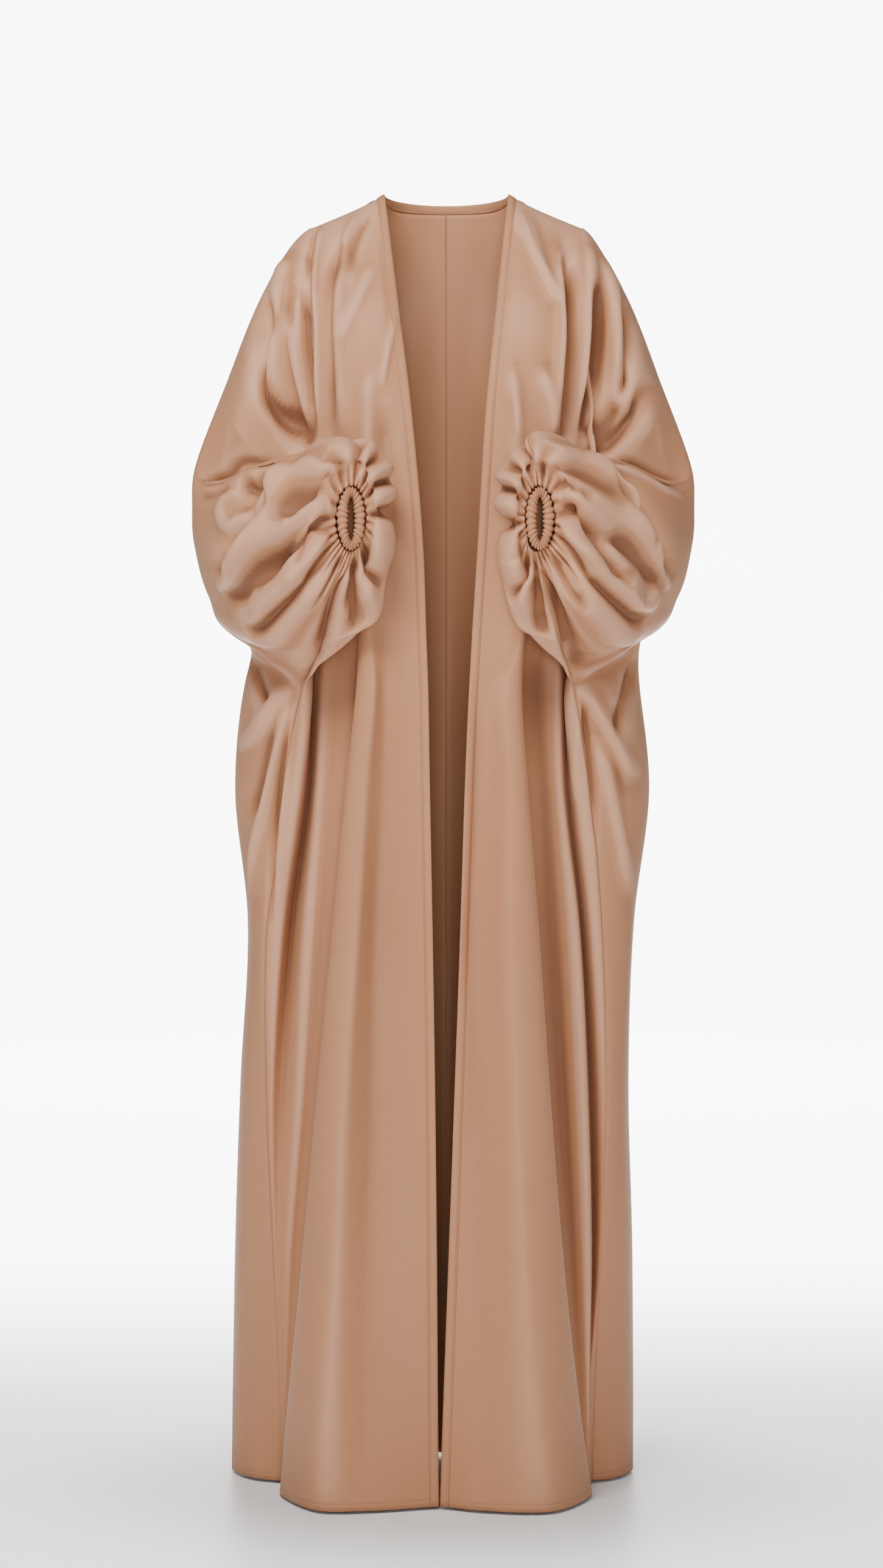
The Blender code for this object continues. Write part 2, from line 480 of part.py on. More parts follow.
def fold_heights(folds, region, points, normals, section):
    """How far each point rises from the sheet, in mm, under all the folds of its region."""
    flat = points[:, (0, 2)]
    facing = np.clip(-normals[:, 1] * FOLD_FACING, 0, 1)
    rise = np.zeros(len(points))
    for name, where, first, width, height, path in folds:
        if where not in ("any", region):
            continue
        line = smooth_path(path)
        start, run = line[:-1], np.diff(line, axis=0)
        length = (run ** 2).sum(axis=1)
        offset = flat[:, None, :] - start[None]
        part = np.clip((offset * run[None]).sum(axis=2) / length, 0, 1)
        away = np.linalg.norm(offset - part[..., None] * run[None], axis=2)
        nearest = away.argmin(axis=1)
        every = np.arange(len(flat))
        along = (nearest + part[every, nearest]) / len(run)
        taper = np.clip(np.minimum(along, 1 - along) / FOLD_TAPER[0], 0, 1) ** FOLD_TAPER[1]
        keep = np.clip(section - first + 1, 0, 1) if region == "sleeve" else 1
        rise += height * taper * np.exp(-(away[every, nearest] / width) ** 2) * facing * keep
    return rise


def steps_to_places(steps, first=0):
    """Column or row places, counted in lines, with `steps` samples for each stretch."""
    places = []
    for i, count in enumerate(steps):
        places += [first + i + k / count for k in range(count)]
    return places + [first + len(steps)]


def parameter_grid(mesh, columns, rows):
    """A flat bmesh grid whose vertices hold their column and row places as x and y."""
    across, down = len(columns) - 1, len(rows) - 1
    made = bmesh.ops.create_grid(mesh, x_segments=across, y_segments=down, size=0.5)
    for vert in made["verts"]:
        column = columns[round((vert.co.x + 0.5) * across)]
        row = rows[round((vert.co.y + 0.5) * down)]
        vert.co = (column, row, 0)
    return made["verts"]


def meeting_normals(sheets, face, region, u, v, outward):
    """Normals of a sheet, shared with every other sheet that meets it at the same place.

    `sheets` holds the body and sleeve sheets of one side, as sheets[face][region].
    """
    other_face = "back" if face == "front" else "front"
    other_region = "sleeve" if region == "body" else "body"
    def normals(where, which, u, v, sign):
        """Taken just inside the seams, where the cloth already has its own direction."""
        if which == "sleeve":
            v = np.clip(v, SEAM_LOOK, UNDERARM - SEAM_LOOK)
        else:
            inside = sheets[where][which].last - SEAM_LOOK
            u = np.where(v > UNDERARM - 1e-6, np.minimum(u, inside), u)
        return sheets[where][which].normal(u, v, outward * sign)

    total = normals(face, region, u, v, 1)
    start_end = 0.0 if region == "sleeve" else sheets[face]["body"].last
    at_armhole = (abs(u - start_end) < 1e-6) & (v < UNDERARM + 1e-6)
    ends = (v < 1e-6) | (v > UNDERARM - 1e-6)
    if region == "sleeve":
        on_seam = ends
    else:
        on_seam = (abs(u - start_end) < 1e-6) & ends
    for mask, where, which, sign in ((at_armhole, face, other_region, 1),
                                     (on_seam, other_face, region, -1),
                                     (at_armhole & ends, other_face, other_region, -1)):
        if which == "body":
            places = np.full(mask.sum(), float(sheets[where][which].last))
        else:
            places = u[mask] if region == "sleeve" else np.zeros(mask.sum())
        total[mask] += normals(where, which, places, v[mask], sign)
    return total / np.linalg.norm(total, axis=1)[:, None]


def unit(rows):
    return rows / np.linalg.norm(rows, axis=1)[:, None]


def inset(sheet, u, v, u_end, v_end):
    """Points of a sheet; those on a seam are drawn back by SEAM, square to it.

    u_end and v_end are +1 or -1 where a place lies on a seam at that end, else 0.
    """
    here = sheet.at(u, v)
    along = unit(sheet.at(u - np.sign(u_end + 0.5) * SEAM_LOOK, v) - here)
    down = unit(sheet.at(u, v - np.sign(v_end + 0.5) * SEAM_LOOK) - here)
    shared = (along * down).sum(axis=1)[:, None]
    from_side = unit(along - shared * down) * abs(u_end)[:, None]
    from_top = unit(down - shared * along) * abs(v_end)[:, None]
    return here + (from_side + from_top) * SEAM / MM


def corner_point(body):
    """The underarm corner of one panel, drawn back along its own armhole."""
    corner, above = body.at([body.last, body.last], [UNDERARM, UNDERARM - 1])
    return corner + (above - corner) / np.linalg.norm(above - corner) * CORNER_PULL


def relax(mesh, verts, rounds):
    """Let a patch of cloth settle towards its neighbours."""
    for _ in range(rounds):
        bmesh.ops.smooth_vert(mesh, verts=verts, factor=0.5, use_axis_x=True, use_axis_y=True,
                              use_axis_z=True)


def lay_sheet(sheets, face, region, columns, rows, seams, folds, outward, fine_from=None):
    """Bmesh of one sheet with its folds. `seams` names the sides that stop short of a seam."""
    sheet = sheets[face][region]
    mesh = bmesh.new()
    parameter_grid(mesh, columns, rows)
    if fine_from is not None:
        edges = [edge for edge in mesh.edges if min(v.co.x for v in edge.verts) >= fine_from - 1e-6]
        bmesh.ops.subdivide_edges(mesh, edges=edges, cuts=1, use_grid_fill=True)
    u = np.array([vert.co.x for vert in mesh.verts])
    v = np.array([vert.co.y for vert in mesh.verts])
    u_end, v_end = np.zeros(len(u)), np.zeros(len(v))
    u_end[u < columns[0] + 1e-6] = -1 if "start" in seams else 0
    on_end = u > columns[-1] - 1e-6
    corner = on_end & (abs(v - UNDERARM) < 1e-6)
    if "side" in seams:
        on_end &= v > UNDERARM + 1e-6
    u_end[on_end] = 1 if {"end", "side"} & set(seams) else 0
    v_end[v < rows[0] + 1e-6] = -1 if "top" in seams else 0
    v_end[v > rows[-1] - 1e-6] = 1 if "bottom" in seams else 0
    if region == "sleeve":
        corner = (u < 1e-6) & (v > UNDERARM - 1e-6)
    normals = meeting_normals(sheets, face, region, u, v, outward)
    rise = fold_heights(folds, region, sheet.at(u, v), normals, u)
    points = inset(sheet, u, v, u_end, v_end)
    if region == "sleeve" or "side" in seams:
        points[corner] = corner_point(sheets[face]["body"])
    if region == "sleeve":
        gather = np.cos(np.pi * CUFF_WAVES * v / UNDERARM)
        rise += GATHER_DEPTH * gather * np.clip(u - GATHER_START, 0, 1)
    points = points + normals * rise[:, None]
    out = mesh.verts.layers.float_vector.new("out")
    for vert, point, normal in zip(mesh.verts, points, normals):
        vert.co = Vector(point * MM)
        vert[out] = Vector(normal)
    if region == "sleeve" and face == "front":
        crook = (u > CROOK[0]) & (u < CROOK[1]) & (v > CROOK[2]) & (v < CROOK[3])
        soft = [vert for vert, inside in zip(mesh.verts, crook) if inside]
        relax(mesh, soft, CROOK_ROUNDS)
    return mesh


def material(name, color, roughness):
    made = bpy.data.materials.new(name)
    made.use_nodes = True
    shader = made.node_tree.nodes["Principled BSDF"]
    shader.inputs["Base Color"].default_value = color
    shader.inputs["Roughness"].default_value = roughness
    shader.inputs["Metallic"].default_value = 0.0
    return made


def add_wall(mesh, wall):
    """Give an open sheet its wall, half to each side, square to the cloth also at its seams."""
    mesh.normal_update()
    out = mesh.verts.layers.float_vector["out"]
    number = mesh.verts.layers.int.new("number")
    centres, normals = [], []
    for index, vert in enumerate(mesh.verts):
        vert[number] = index
        normal = vert.normal.copy()
        if vert.is_boundary:
            normal = vert[out].normalized() * (1 if vert[out].dot(normal) > 0 else -1)
        centres.append(vert.co.copy())
        normals.append(normal)
    inner = bmesh.ops.extrude_face_region(mesh, geom=mesh.faces[:])["geom"]
    inner = {item for item in inner if isinstance(item, bmesh.types.BMVert)}
    for vert in mesh.verts:
        sign = -1 if vert in inner else 1
        vert.co = centres[vert[number]] + normals[vert[number]] * (sign * wall / 2)
    bmesh.ops.recalc_face_normals(mesh, faces=mesh.faces)


def soften(mesh):
    """Round off the cloth where the back of the armhole turns under the sleeve."""
    middle = Vector(ARMPIT[:3])
    soft = []
    for vert in mesh.verts:
        place = Vector((-abs(vert.co.x), vert.co.y, vert.co.z)) / MM
        if (place - middle).length < ARMPIT[3] and not vert.is_boundary:
            soft.append(vert)
    relax(mesh, soft, ARMPIT_ROUNDS)


def cloth_object(name, sheets, wall, color, collection):
    """One sewn piece: its sheets joined and given a wall."""
    mesh = bmesh.new()
    for sheet in sheets:
        data = bpy.data.meshes.new("sheet")
        sheet.to_mesh(data)
        sheet.free()
        mesh.from_mesh(data)
        bpy.data.meshes.remove(data)
    bmesh.ops.remove_doubles(mesh, verts=mesh.verts, dist=0.1 * MM)
    soften(mesh)
    bmesh.ops.recalc_face_normals(mesh, faces=mesh.faces)
    if wall:
        add_wall(mesh, wall)
    data = bpy.data.meshes.new(name)
    mesh.to_mesh(data)
    mesh.free()
    data.shade_smooth()
    piece = bpy.data.objects.new(name, data)
    collection.objects.link(piece)
    data.materials.append(material(name, color, CLOTH_ROUGHNESS))
    return piece


def cuff(name, side, collection):
    """Gathered elastic casing: a ring just inside the sleeve mouth that swells at each gather."""
    samples = CUFF_WAVES * CUFF_SAMPLES
    mesh = bmesh.new()
    parameter_grid(mesh, range(samples + 1), range(CUFF_SIDES + 1))
    middle = np.array(MOUTH_CENTRE) * (1 if side == RIGHT else -LEFT_SLEEVE_SPREAD, 1, 1)
    for vert in mesh.verts:
        turn = 2 * np.pi * round(vert.co.x) / samples
        angle = 2 * np.pi * round(vert.co.y) / CUFF_SIDES
        out = np.array((np.cos(turn), 0, np.sin(turn)))
        swell = 1 - CUFF_SWELL + CUFF_SWELL * np.cos(turn * CUFF_WAVES)
        reach = np.array(MOUTH_HALF) - CUFF_RADIUS - CUFF_CLEARANCE
        core = middle + (reach[0] * out[0], -CUFF_FORWARD, reach[1] * out[2])
        around = np.cos(angle) * out + np.sin(angle) * np.array((0, -1, 0))
        vert.co = Vector((core + CUFF_RADIUS * swell * around) * MM)
    return cloth_object(name, (mesh,), 0, CLOTH_COLOR, collection)


def neck_band(sheets, collection):
    """Turned edge of the back neck, between the neckline and the tops of both backs."""
    mesh = bmesh.new()
    out = mesh.verts.layers.float_vector.new("out")
    parameter_grid(mesh, range(-NECK_STEPS, NECK_STEPS + 1), (0, 1))
    for vert in mesh.verts:
        part = vert.co.x / NECK_STEPS
        side = RIGHT if part < 0 else LEFT
        turn = abs(part) * np.pi / 2
        edge = np.array((side * NECK_HALF * np.sin(turn), NECK_DEPTH * np.cos(turn),
                         NECK_DROP * np.cos(turn)))
        stitch = sheets[side].at([2 * abs(part)], [0])[0]
        run = stitch - edge
        stitch = stitch - run / np.linalg.norm(run) * BAND_CREASE
        point = edge if vert.co.y < 0.5 else stitch
        if abs(part) == 1:
            point = point + (0, SEAM / MM, 0)
        vert.co = Vector(point * MM)
        facing = np.cross(run, (-np.cos(turn), side * np.sin(turn), 0))
        vert[out] = Vector(facing)
    cloth_object("back_neck_band", (mesh,), BAND_WALL, BAND_COLOR, collection)


def build():
    clear_scene()
    collection = bpy.data.collections.new("abaya_cloak")
    bpy.context.scene.collection.children.link(collection)
    rows = steps_to_places(LEVEL_STEPS)
    upper = steps_to_places(LEVEL_STEPS[:UNDERARM])
    arm = steps_to_places(SLEEVE_STEPS)
    backs = {}
    for side, word, folds in ((RIGHT, "right", FOLDS_RIGHT), (LEFT, "left", FOLDS_LEFT)):
        front = front_sheets(side)
        back = back_sheets(side, *front)
        sheets = {"front": {"body": front[0], "sleeve": front[1]},
                  "back": {"body": back[0], "sleeve": back[1]}}
        backs[side] = back[0]
        for face, outward, steps in (("front", -side, steps_to_places(FRONT_STEPS)[1:]),
                                     ("back", side, steps_to_places(BACK_STEPS))):
            pieces = (lay_sheet(sheets, face, "body", steps, rows, ("top", "start", "side"), folds,
                                outward),
                      lay_sheet(sheets, face, "sleeve", arm, upper, ("top", "bottom", "end"), folds,
                                outward, FINE_SLEEVE))
            cloth_object(face + "_" + word, pieces, WALL, CLOTH_COLOR, collection)
        band = lay_sheet(sheets, "front", "body", (0, 1), rows, ("top", "end"), folds, -side)
        cloth_object("front_band_" + word, (band,), BAND_WALL, BAND_COLOR, collection)
        cuff("cuff_" + word, side, collection)
    neck_band(backs, collection)


build()
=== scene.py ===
# %% [markdown]
# # An open-front abaya cloak
# The real cloak is thin crepe with a satin back: two fronts, two backs, sleeves cut in one with
# them, an elastic casing at each wrist and one turned edge round the whole opening. It hangs as if
# worn, with nobody in it. It could be sculpted freely, but the frame already gives every seam, so
# each piece here is laid over the same seam and fold lines and only gets finer.

import bmesh
import bpy
import numpy as np
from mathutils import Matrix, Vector


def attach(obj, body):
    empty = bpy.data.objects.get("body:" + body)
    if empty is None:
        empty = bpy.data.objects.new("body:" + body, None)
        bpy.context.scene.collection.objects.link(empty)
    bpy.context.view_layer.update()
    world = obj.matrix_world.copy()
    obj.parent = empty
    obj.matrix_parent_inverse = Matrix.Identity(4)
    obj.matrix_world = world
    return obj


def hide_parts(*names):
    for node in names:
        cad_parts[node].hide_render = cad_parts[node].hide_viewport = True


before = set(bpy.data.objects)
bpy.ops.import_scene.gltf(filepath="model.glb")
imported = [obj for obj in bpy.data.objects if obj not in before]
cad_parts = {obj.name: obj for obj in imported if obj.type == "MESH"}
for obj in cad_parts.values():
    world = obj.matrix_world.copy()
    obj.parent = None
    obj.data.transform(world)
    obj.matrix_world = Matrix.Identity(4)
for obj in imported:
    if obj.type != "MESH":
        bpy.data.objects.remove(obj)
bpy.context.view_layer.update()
MM = 0.001
RIGHT, LEFT = -1, 1

# %% [markdown]
# ## Camera and room
# A studio photograph of a full length cloak is taken from a few metres with a short telephoto
# lens, level with the hip, so that the shoulders and the hem keep their true proportions. The room
# could be modelled, but a pale floor, a pale wall and large soft lights are all that it shows.

# %% Camera
camera = bpy.data.objects.new("camera", bpy.data.cameras.new("camera"))
bpy.context.scene.collection.objects.link(camera)
camera.location = (-0.0058, -4.376, -0.6964)
camera.rotation_euler = (np.pi / 2, 0, 0)
camera.data.lens = 85
camera.data.sensor_width = 36
bpy.context.scene.camera = camera
print("camera", -camera.location.y, "m in front of the shoulders")

# %% [markdown]
# ## Shader maths
# A cloth finish is mostly arithmetic on positions: how far is this point from a seam, is there a
# thread here. Written as nodes by hand that is long, so a socket is wrapped in a small class and
# plain Python expressions add the Math nodes.

# %% Sockets that can be added and multiplied
class Wire:
    """A node's output, which can stand in a Python expression."""

    def __init__(self, finish, socket):
        self.finish = finish
        self.socket = socket

    def math(self, operation, *others):
        sockets = {0: self, **{i + 1: other for i, other in enumerate(others)}}
        return self.finish.node("ShaderNodeMath", {"operation": operation}, sockets)

    def __add__(self, other):
        return self.math("ADD", other)

    __radd__ = __add__

    def __sub__(self, other):
        return self.math("SUBTRACT", other)

    def __rsub__(self, other):
        return self * -1 + other

    def __mul__(self, other):
        return self.math("MULTIPLY", other)

    __rmul__ = __mul__

    def __truediv__(self, other):
        return self.math("DIVIDE", other)

    def __abs__(self):
        return self.math("ABSOLUTE")

    def fade(self, start, end):
        """1 below start, falling smoothly to 0 at end."""
        settings = {"interpolation_type": "SMOOTHSTEP"}
        sockets = {"Value": self, "From Min": start, "From Max": end, "To Min": 1.0, "To Max": 0.0}
        return self.finish.node("ShaderNodeMapRange", settings, sockets)


class Finish:
    """One material and its node tree."""

    def __init__(self, name, roughness):
        self.material = bpy.data.materials.new(name)
        self.material.use_nodes = True
        self.tree = self.material.node_tree
        self.shader = self.tree.nodes["Principled BSDF"]
        self.set("Roughness", roughness)

    def join(self, value, socket):
        if isinstance(value, Wire):
            self.tree.links.new(value.socket, socket)
        else:
            socket.default_value = value

    def node(self, kind, settings, sockets, output=0):
        made = self.tree.nodes.new(kind)
        for name, value in settings.items():
            setattr(made, name, value)
        for name, value in sockets.items():
            self.join(value, made.inputs[name])
        return Wire(self, made.outputs[output])

    def set(self, name, value):
        self.join(value, self.shader.inputs[name])

    def map(self, name):
        """The two numbers of one of the piece's own maps, in metres."""
        uv = self.node("ShaderNodeUVMap", {"uv_map": name}, {})
        sockets = {"Vector": uv}
        return (self.node("ShaderNodeSeparateXYZ", {}, sockets, 0),
                self.node("ShaderNodeSeparateXYZ", {}, sockets, 1))

    def noise(self, scale, detail=2.0, stretch=(1, 1, 1)):
        place = self.node("ShaderNodeTexCoord", {}, {}, 3)
        if stretch != (1, 1, 1):
            place = self.node("ShaderNodeMapping", {}, {"Vector": place, "Scale": stretch})
        return self.node("ShaderNodeTexNoise", {}, {"Vector": place, "Scale": scale, "Detail": detail})

    def blend(self, factor, first, second):
        sockets = {0: factor, 6: first, 7: second}
        return self.node("ShaderNodeMix", {"data_type": "RGBA"}, sockets, 2)

    def raise_by(self, height):
        """Bump of a height in metres."""
        sockets = {"Height": height, "Strength": 1.0, "Distance": 1.0}
        self.set("Normal", self.node("ShaderNodeBump", {}, sockets))


print("shader helpers ready")

# %% A floor that curves up into the wall
FLOOR_Z = -1.5235
COVE_START, COVE_RADIUS = 6.6, 1.6     # metres
ROOM_FRONT, ROOM_WIDTH, ROOM_LENGTH = 6, 16, 19
BLACK, WHITE = (0, 0, 0, 1), (1, 1, 1, 1)


def cove_point(along):
    """(y, z) of the backdrop, `along` metres from its front edge."""
    flat = along - ROOM_FRONT
    if flat < COVE_START:
        return flat, FLOOR_Z
    turn = (flat - COVE_START) / COVE_RADIUS
    if turn < np.pi / 2:
        return COVE_START + COVE_RADIUS * np.sin(turn), FLOOR_Z + COVE_RADIUS * (1 - np.cos(turn))
    return COVE_START + COVE_RADIUS, FLOOR_Z + COVE_RADIUS * (1 + turn - np.pi / 2)


cove_mesh = bmesh.new()
bmesh.ops.create_grid(cove_mesh, x_segments=2, y_segments=130, size=0.5)
for vert in cove_mesh.verts:
    vert.co = Vector((vert.co.x * ROOM_WIDTH, *cove_point((vert.co.y + 0.5) * ROOM_LENGTH)))
cove_data = bpy.data.meshes.new("studio_backdrop")
cove_mesh.to_mesh(cove_data)
cove_mesh.free()
cove_data.shade_smooth()
cove = bpy.data.objects.new("studio_backdrop", cove_data)
bpy.context.scene.collection.objects.link(cove)
backdrop = Finish("backdrop", 0.4)
place = backdrop.node("ShaderNodeTexCoord", {}, {}, 3)
aside, depth, height = (backdrop.node("ShaderNodeSeparateXYZ", {}, {"Vector": place}, k)
                        for k in range(3))
near = depth.fade(0.3, 2.4)
wall_glow = (abs(aside) - depth * 0.13).fade(0.7, 1.5) * height.fade(2.1, 3.0) * (1 - near)
# The floor near the camera glows faintly to stay pale, and the glow fades out near the hem, a painted
# contact shadow under the cloak.
from_hem = (aside * aside * 0.7 + (depth + 0.02) * (depth + 0.02)).math("SQRT")
floor_glow_with_painted_shadow = (1 - from_hem.fade(0.18, 0.55)) * near * 0.11
glow = backdrop.blend(wall_glow + floor_glow_with_painted_shadow, BLACK, WHITE)
backdrop.set("Base Color", (0.9, 0.9, 0.9, 1))
backdrop.set("Emission Color", glow)
backdrop.set("Emission Strength", 7.5)
backdrop.set("Specular IOR Level", 0.05)
cove_data.materials.append(backdrop.material)
print("floor at", FLOOR_Z, "m")

# %% Lights
def soft_light(name, place, target, size, watts):
    light = bpy.data.lights.new(name, "AREA")
    light.shape = "RECTANGLE"
    light.size, light.size_y = size
    light.energy = watts
    lamp = bpy.data.objects.new(name, light)
    bpy.context.scene.collection.objects.link(lamp)
    lamp.location = place
    lamp.rotation_mode = "QUATERNION"
    lamp.rotation_quaternion = (Vector(target) - Vector(place)).to_track_quat("-Z", "Y")


soft_light("key", (-0.5, -1.6, 1.0), (0, 0, -0.15), (1.0, 0.7), 60)
soft_light("front", (0.15, -4.7, -0.5), (0, 0, -0.7), (0.7, 0.7), 84)
soft_light("left_strip", (-2.6, -1.0, -0.1), (0, 0, -0.7), (0.6, 2.6), 9)
soft_light("right_strip", (2.6, -1.0, -0.2), (0, 0, -0.7), (0.6, 2.6), 9)
world = bpy.data.worlds.new("studio")
bpy.context.scene.world = world
world.use_nodes = True
sky = world.node_tree.nodes["Background"].inputs
sky["Color"].default_value = WHITE
sky["Strength"].default_value = 0.12

# %% [markdown]
# ## Seam and fold lines
# A cloak on a stand shows its cut by the lines along which it folds. Each line below runs from the
# shoulder to the hem, or from the armhole to the wrist, and holds the same points as the frame's
# source. Cloth simulation could drape the cut instead, but it would not fold where this one does,
# so the folds that the photograph shows are placed line by line.

# %% Heights and shoulder
SLOPE_LIMIT = 1.8
BAND_WIDTH = 10.0          # mm, front edge to stitch line
HEM_LEVEL = -1520.0        # mm
NECK_HALF = 73.0           # mm, neck point from the middle
NECK_DEPTH = 66.0          # mm, back neckline behind the shoulder line
NECK_DROP = -3.0           # mm, back neckline at the middle
BACK_NECK_Z = -13.0        # mm, stitch line of the neck band at the centre back
SHOULDER_RUN = 91.0        # mm, from the neck point to the sleeve head
SHOULDER_FALL = 42.0       # mm, over that run
SHOULDER_CURVE = 0.85
LEVELS = ("shoulder", "chest", "bust", "waist", "hip", "underarm",
          "thigh", "knee", "calf", "shin", "ankle", "hem")
LEVEL_Z = (0, -130, -270, -420, -530, -585, -700, -860, -1050, -1250, -1420, HEM_LEVEL)
UNDERARM = LEVELS.index("underarm")


def shoulder_z(x):
    """Height of the shoulder line in mm, from the neck point out to the sleeve head."""
    run = max(0.0, (abs(x) - NECK_HALF) / SHOULDER_RUN)
    return -SHOULDER_FALL * run ** SHOULDER_CURVE


print("the underarm is level", UNDERARM, "of", len(LEVELS))

# %% Fold lines of the fronts, (x, y) in mm at each height
FRONT_RIGHT = {
    "edge": [(-73, 0), (-57, -78), (-40, -116), (-27, -130), (-23, -135), (-21, -138),
             (-19, -140), (-16, -143), (-13, -147), (-11, -150), (-10, -153), (-9, -155)],
    "valley": [(-90, 0), (-78, -87), (-74, -120), (-72, -128), (-71, -127), (-71, -126),
               (-74, -126), (-83, -128), (-88, -138), (-91, -155), (-92, -170), (-92, -182)],
    "belly": [(-100, 0), (-98, -88), (-97, -119), (-92, -131), (-87, -137), (-84, -142),
              (-93, -148), (-103, -155), (-117, -165), (-128, -175), (-140, -181), (-146, -180)],
    "crest": [(-111, 0), (-118, -84), (-113, -112), (-104, -122), (-100, -126), (-103, -128),
              (-115, -132), (-130, -135), (-148, -135), (-166, -128), (-183, -108), (-192, -84)],
    "turn": [(-122, 0), (-128, -80), (-125, -104), (-115, -104), (-105, -92), (-101, -86),
             (-110, -84), (-121, -80), (-139, -74), (-157, -64), (-174, -48), (-184, -34)],
    "floor": [(-132, 0), (-137, -76), (-134, -96), (-127, -90), (-124, -76), (-128, -72),
              (-135, -68), (-146, -64), (-159, -60), (-175, -50), (-184, -32), (-189, -12)],
    "shelf": [(-141, 0), (-145, -72), (-143, -88), (-140, -82), (-139, -70), (-144, -66),
              (-150, -64), (-162, -64), (-171, -62), (-184, -52), (-189, -30), (-192, -8)],
    "gap": [(-149, 0), (-154, -68), (-153, -80), (-152, -74), (-153, -60), (-158, -44),
            (-162, -36), (-181, -32), (-192, -42), (-195, -44), (-192, -26), (-193, -4)],
    "pleat": [(-157, 0), (-162, -64), (-161, -73), (-160, -75), (-158, -80), (-156, -90),
              (-169, -82), (-192, -62), (-204, -50), (-201, -42), (-195, -23), (-194, -2)],
    "side": [(-164, 0), (-173, -60), (-171, -66), (-169, -76), (-162, -95), (-167, -100),
             (-189, -78), (-210, -55), (-212, -42), (-204, -35), (-196, -18), (-194, 0)],
}
FRONT_LEFT = {
    "edge": [(73, 0), (59, -78), (45, -116), (36, -130), (29, -135), (26, -138),
             (21, -140), (16, -143), (9, -147), (2, -150), (-4, -153), (-7, -155)],
    "valley": [(90, 0), (78, -87), (73, -121), (72, -131), (69, -134), (51, -134),
               (47, -134), (41, -136), (39, -142), (39, -155), (39, -168), (39, -180)],
    "belly": [(100, 0), (98, -88), (96, -119), (90, -131), (85, -138), (71, -144),
              (73, -150), (74, -158), (81, -166), (91, -176), (104, -184), (118, -186)],
    "crest": [(113, 0), (118, -84), (113, -112), (103, -122), (90, -126), (86, -130),
              (93, -134), (105, -136), (118, -136), (134, -130), (153, -114), (167, -92)],
    "turn": [(123, 0), (128, -80), (124, -104), (113, -104), (94, -92), (84, -86),
             (88, -84), (97, -80), (109, -74), (124, -64), (143, -52), (158, -44)],
    "floor": [(133, 0), (136, -76), (134, -96), (126, -90), (111, -74), (107, -64),
              (113, -60), (122, -54), (134, -50), (146, -46), (155, -40), (163, -28)],
    "shelf": [(142, 0), (145, -72), (143, -88), (139, -82), (131, -70), (131, -66),
              (134, -64), (151, -60), (161, -60), (166, -54), (166, -42), (168, -20)],
    "gap": [(150, 0), (154, -68), (152, -80), (151, -74), (147, -60), (140, -46),
            (143, -40), (158, -24), (168, -12), (172, -10), (166, -27), (166, -16)],
    "pleat": [(157, 0), (162, -64), (161, -73), (160, -75), (151, -80), (138, -90),
              (150, -78), (169, -56), (179, -36), (178, -24), (170, -21), (169, -8)],
    "side": [(164, 0), (172, -60), (171, -66), (169, -76), (153, -92), (147, -100),
             (167, -78), (182, -55), (187, -40), (181, -28), (175, -14), (173, 0)],
}
print("front lines:", ", ".join(FRONT_RIGHT))

# %% Fold lines of the backs, from the centre seam round to the side seam
BACK_RIGHT = {
    "centre": [(0, 68), (0, 90), (0, 98), (0, 100), (0, 104), (0, 108),
               (0, 120), (0, 134), (0, 148), (0, 164), (0, 178), (0, 186)],
    "nape": [(-55, 50), (-42, 96), (-45, 108), (-48, 114), (-50, 120), (-50, 126),
             (-50, 138), (-49, 154), (-48, 170), (-46, 186), (-45, 198), (-45, 204)],
    "neck": [(-83, 0), (-80, 96), (-88, 112), (-95, 112), (-98, 112), (-98, 114),
             (-96, 122), (-95, 134), (-94, 150), (-92, 166), (-91, 178), (-91, 186)],
    "blade": [(-98, 0), (-105, 92), (-115, 112), (-128, 120), (-138, 124), (-140, 128),
              (-138, 138), (-137, 150), (-137, 166), (-137, 182), (-138, 193), (-138, 200)],
    "fold": [(-111, 0), (-118, 88), (-130, 112), (-150, 118), (-170, 118), (-178, 118),
             (-180, 122), (-180, 132), (-182, 144), (-184, 158), (-186, 168), (-187, 172)],
    "wing": [(-123, 0), (-130, 84), (-142, 112), (-170, 116), (-200, 112), (-212, 105),
             (-215, 108), (-214, 115), (-220, 125), (-225, 140), (-228, 150), (-230, 155)],
    "flank": [(-135, 0), (-140, 79), (-152, 110), (-186, 112), (-220, 95), (-233, 75),
              (-244, 70), (-234, 75), (-243, 85), (-250, 92), (-255, 98), (-257, 103)],
    "outer": [(-146, 0), (-148, 74), (-161, 107), (-198, 104), (-230, 70), (-240, 20),
              (-249, 8), (-235, 20), (-244, 28), (-250, 35), (-250, 45), (-250, 52)],
    "wrap": [(-157, 0), (-155, 68), (-169, 103), (-208, 92), (-233, 40), (-213, -56),
             (-222, -52), (-224, -28), (-232, -18), (-232, -8), (-227, 8), (-226, 16)],
}
# The left back mirrors the right one and is pulled in by the seam that hangs nearer the middle.
LEFT_BACK_SPREAD = (1, 1, 1, 1, 0.99, 0.955, 0.96, 0.945, 0.885, 0.88, 0.875, 0.87)
print("back lines:", ", ".join(BACK_RIGHT))

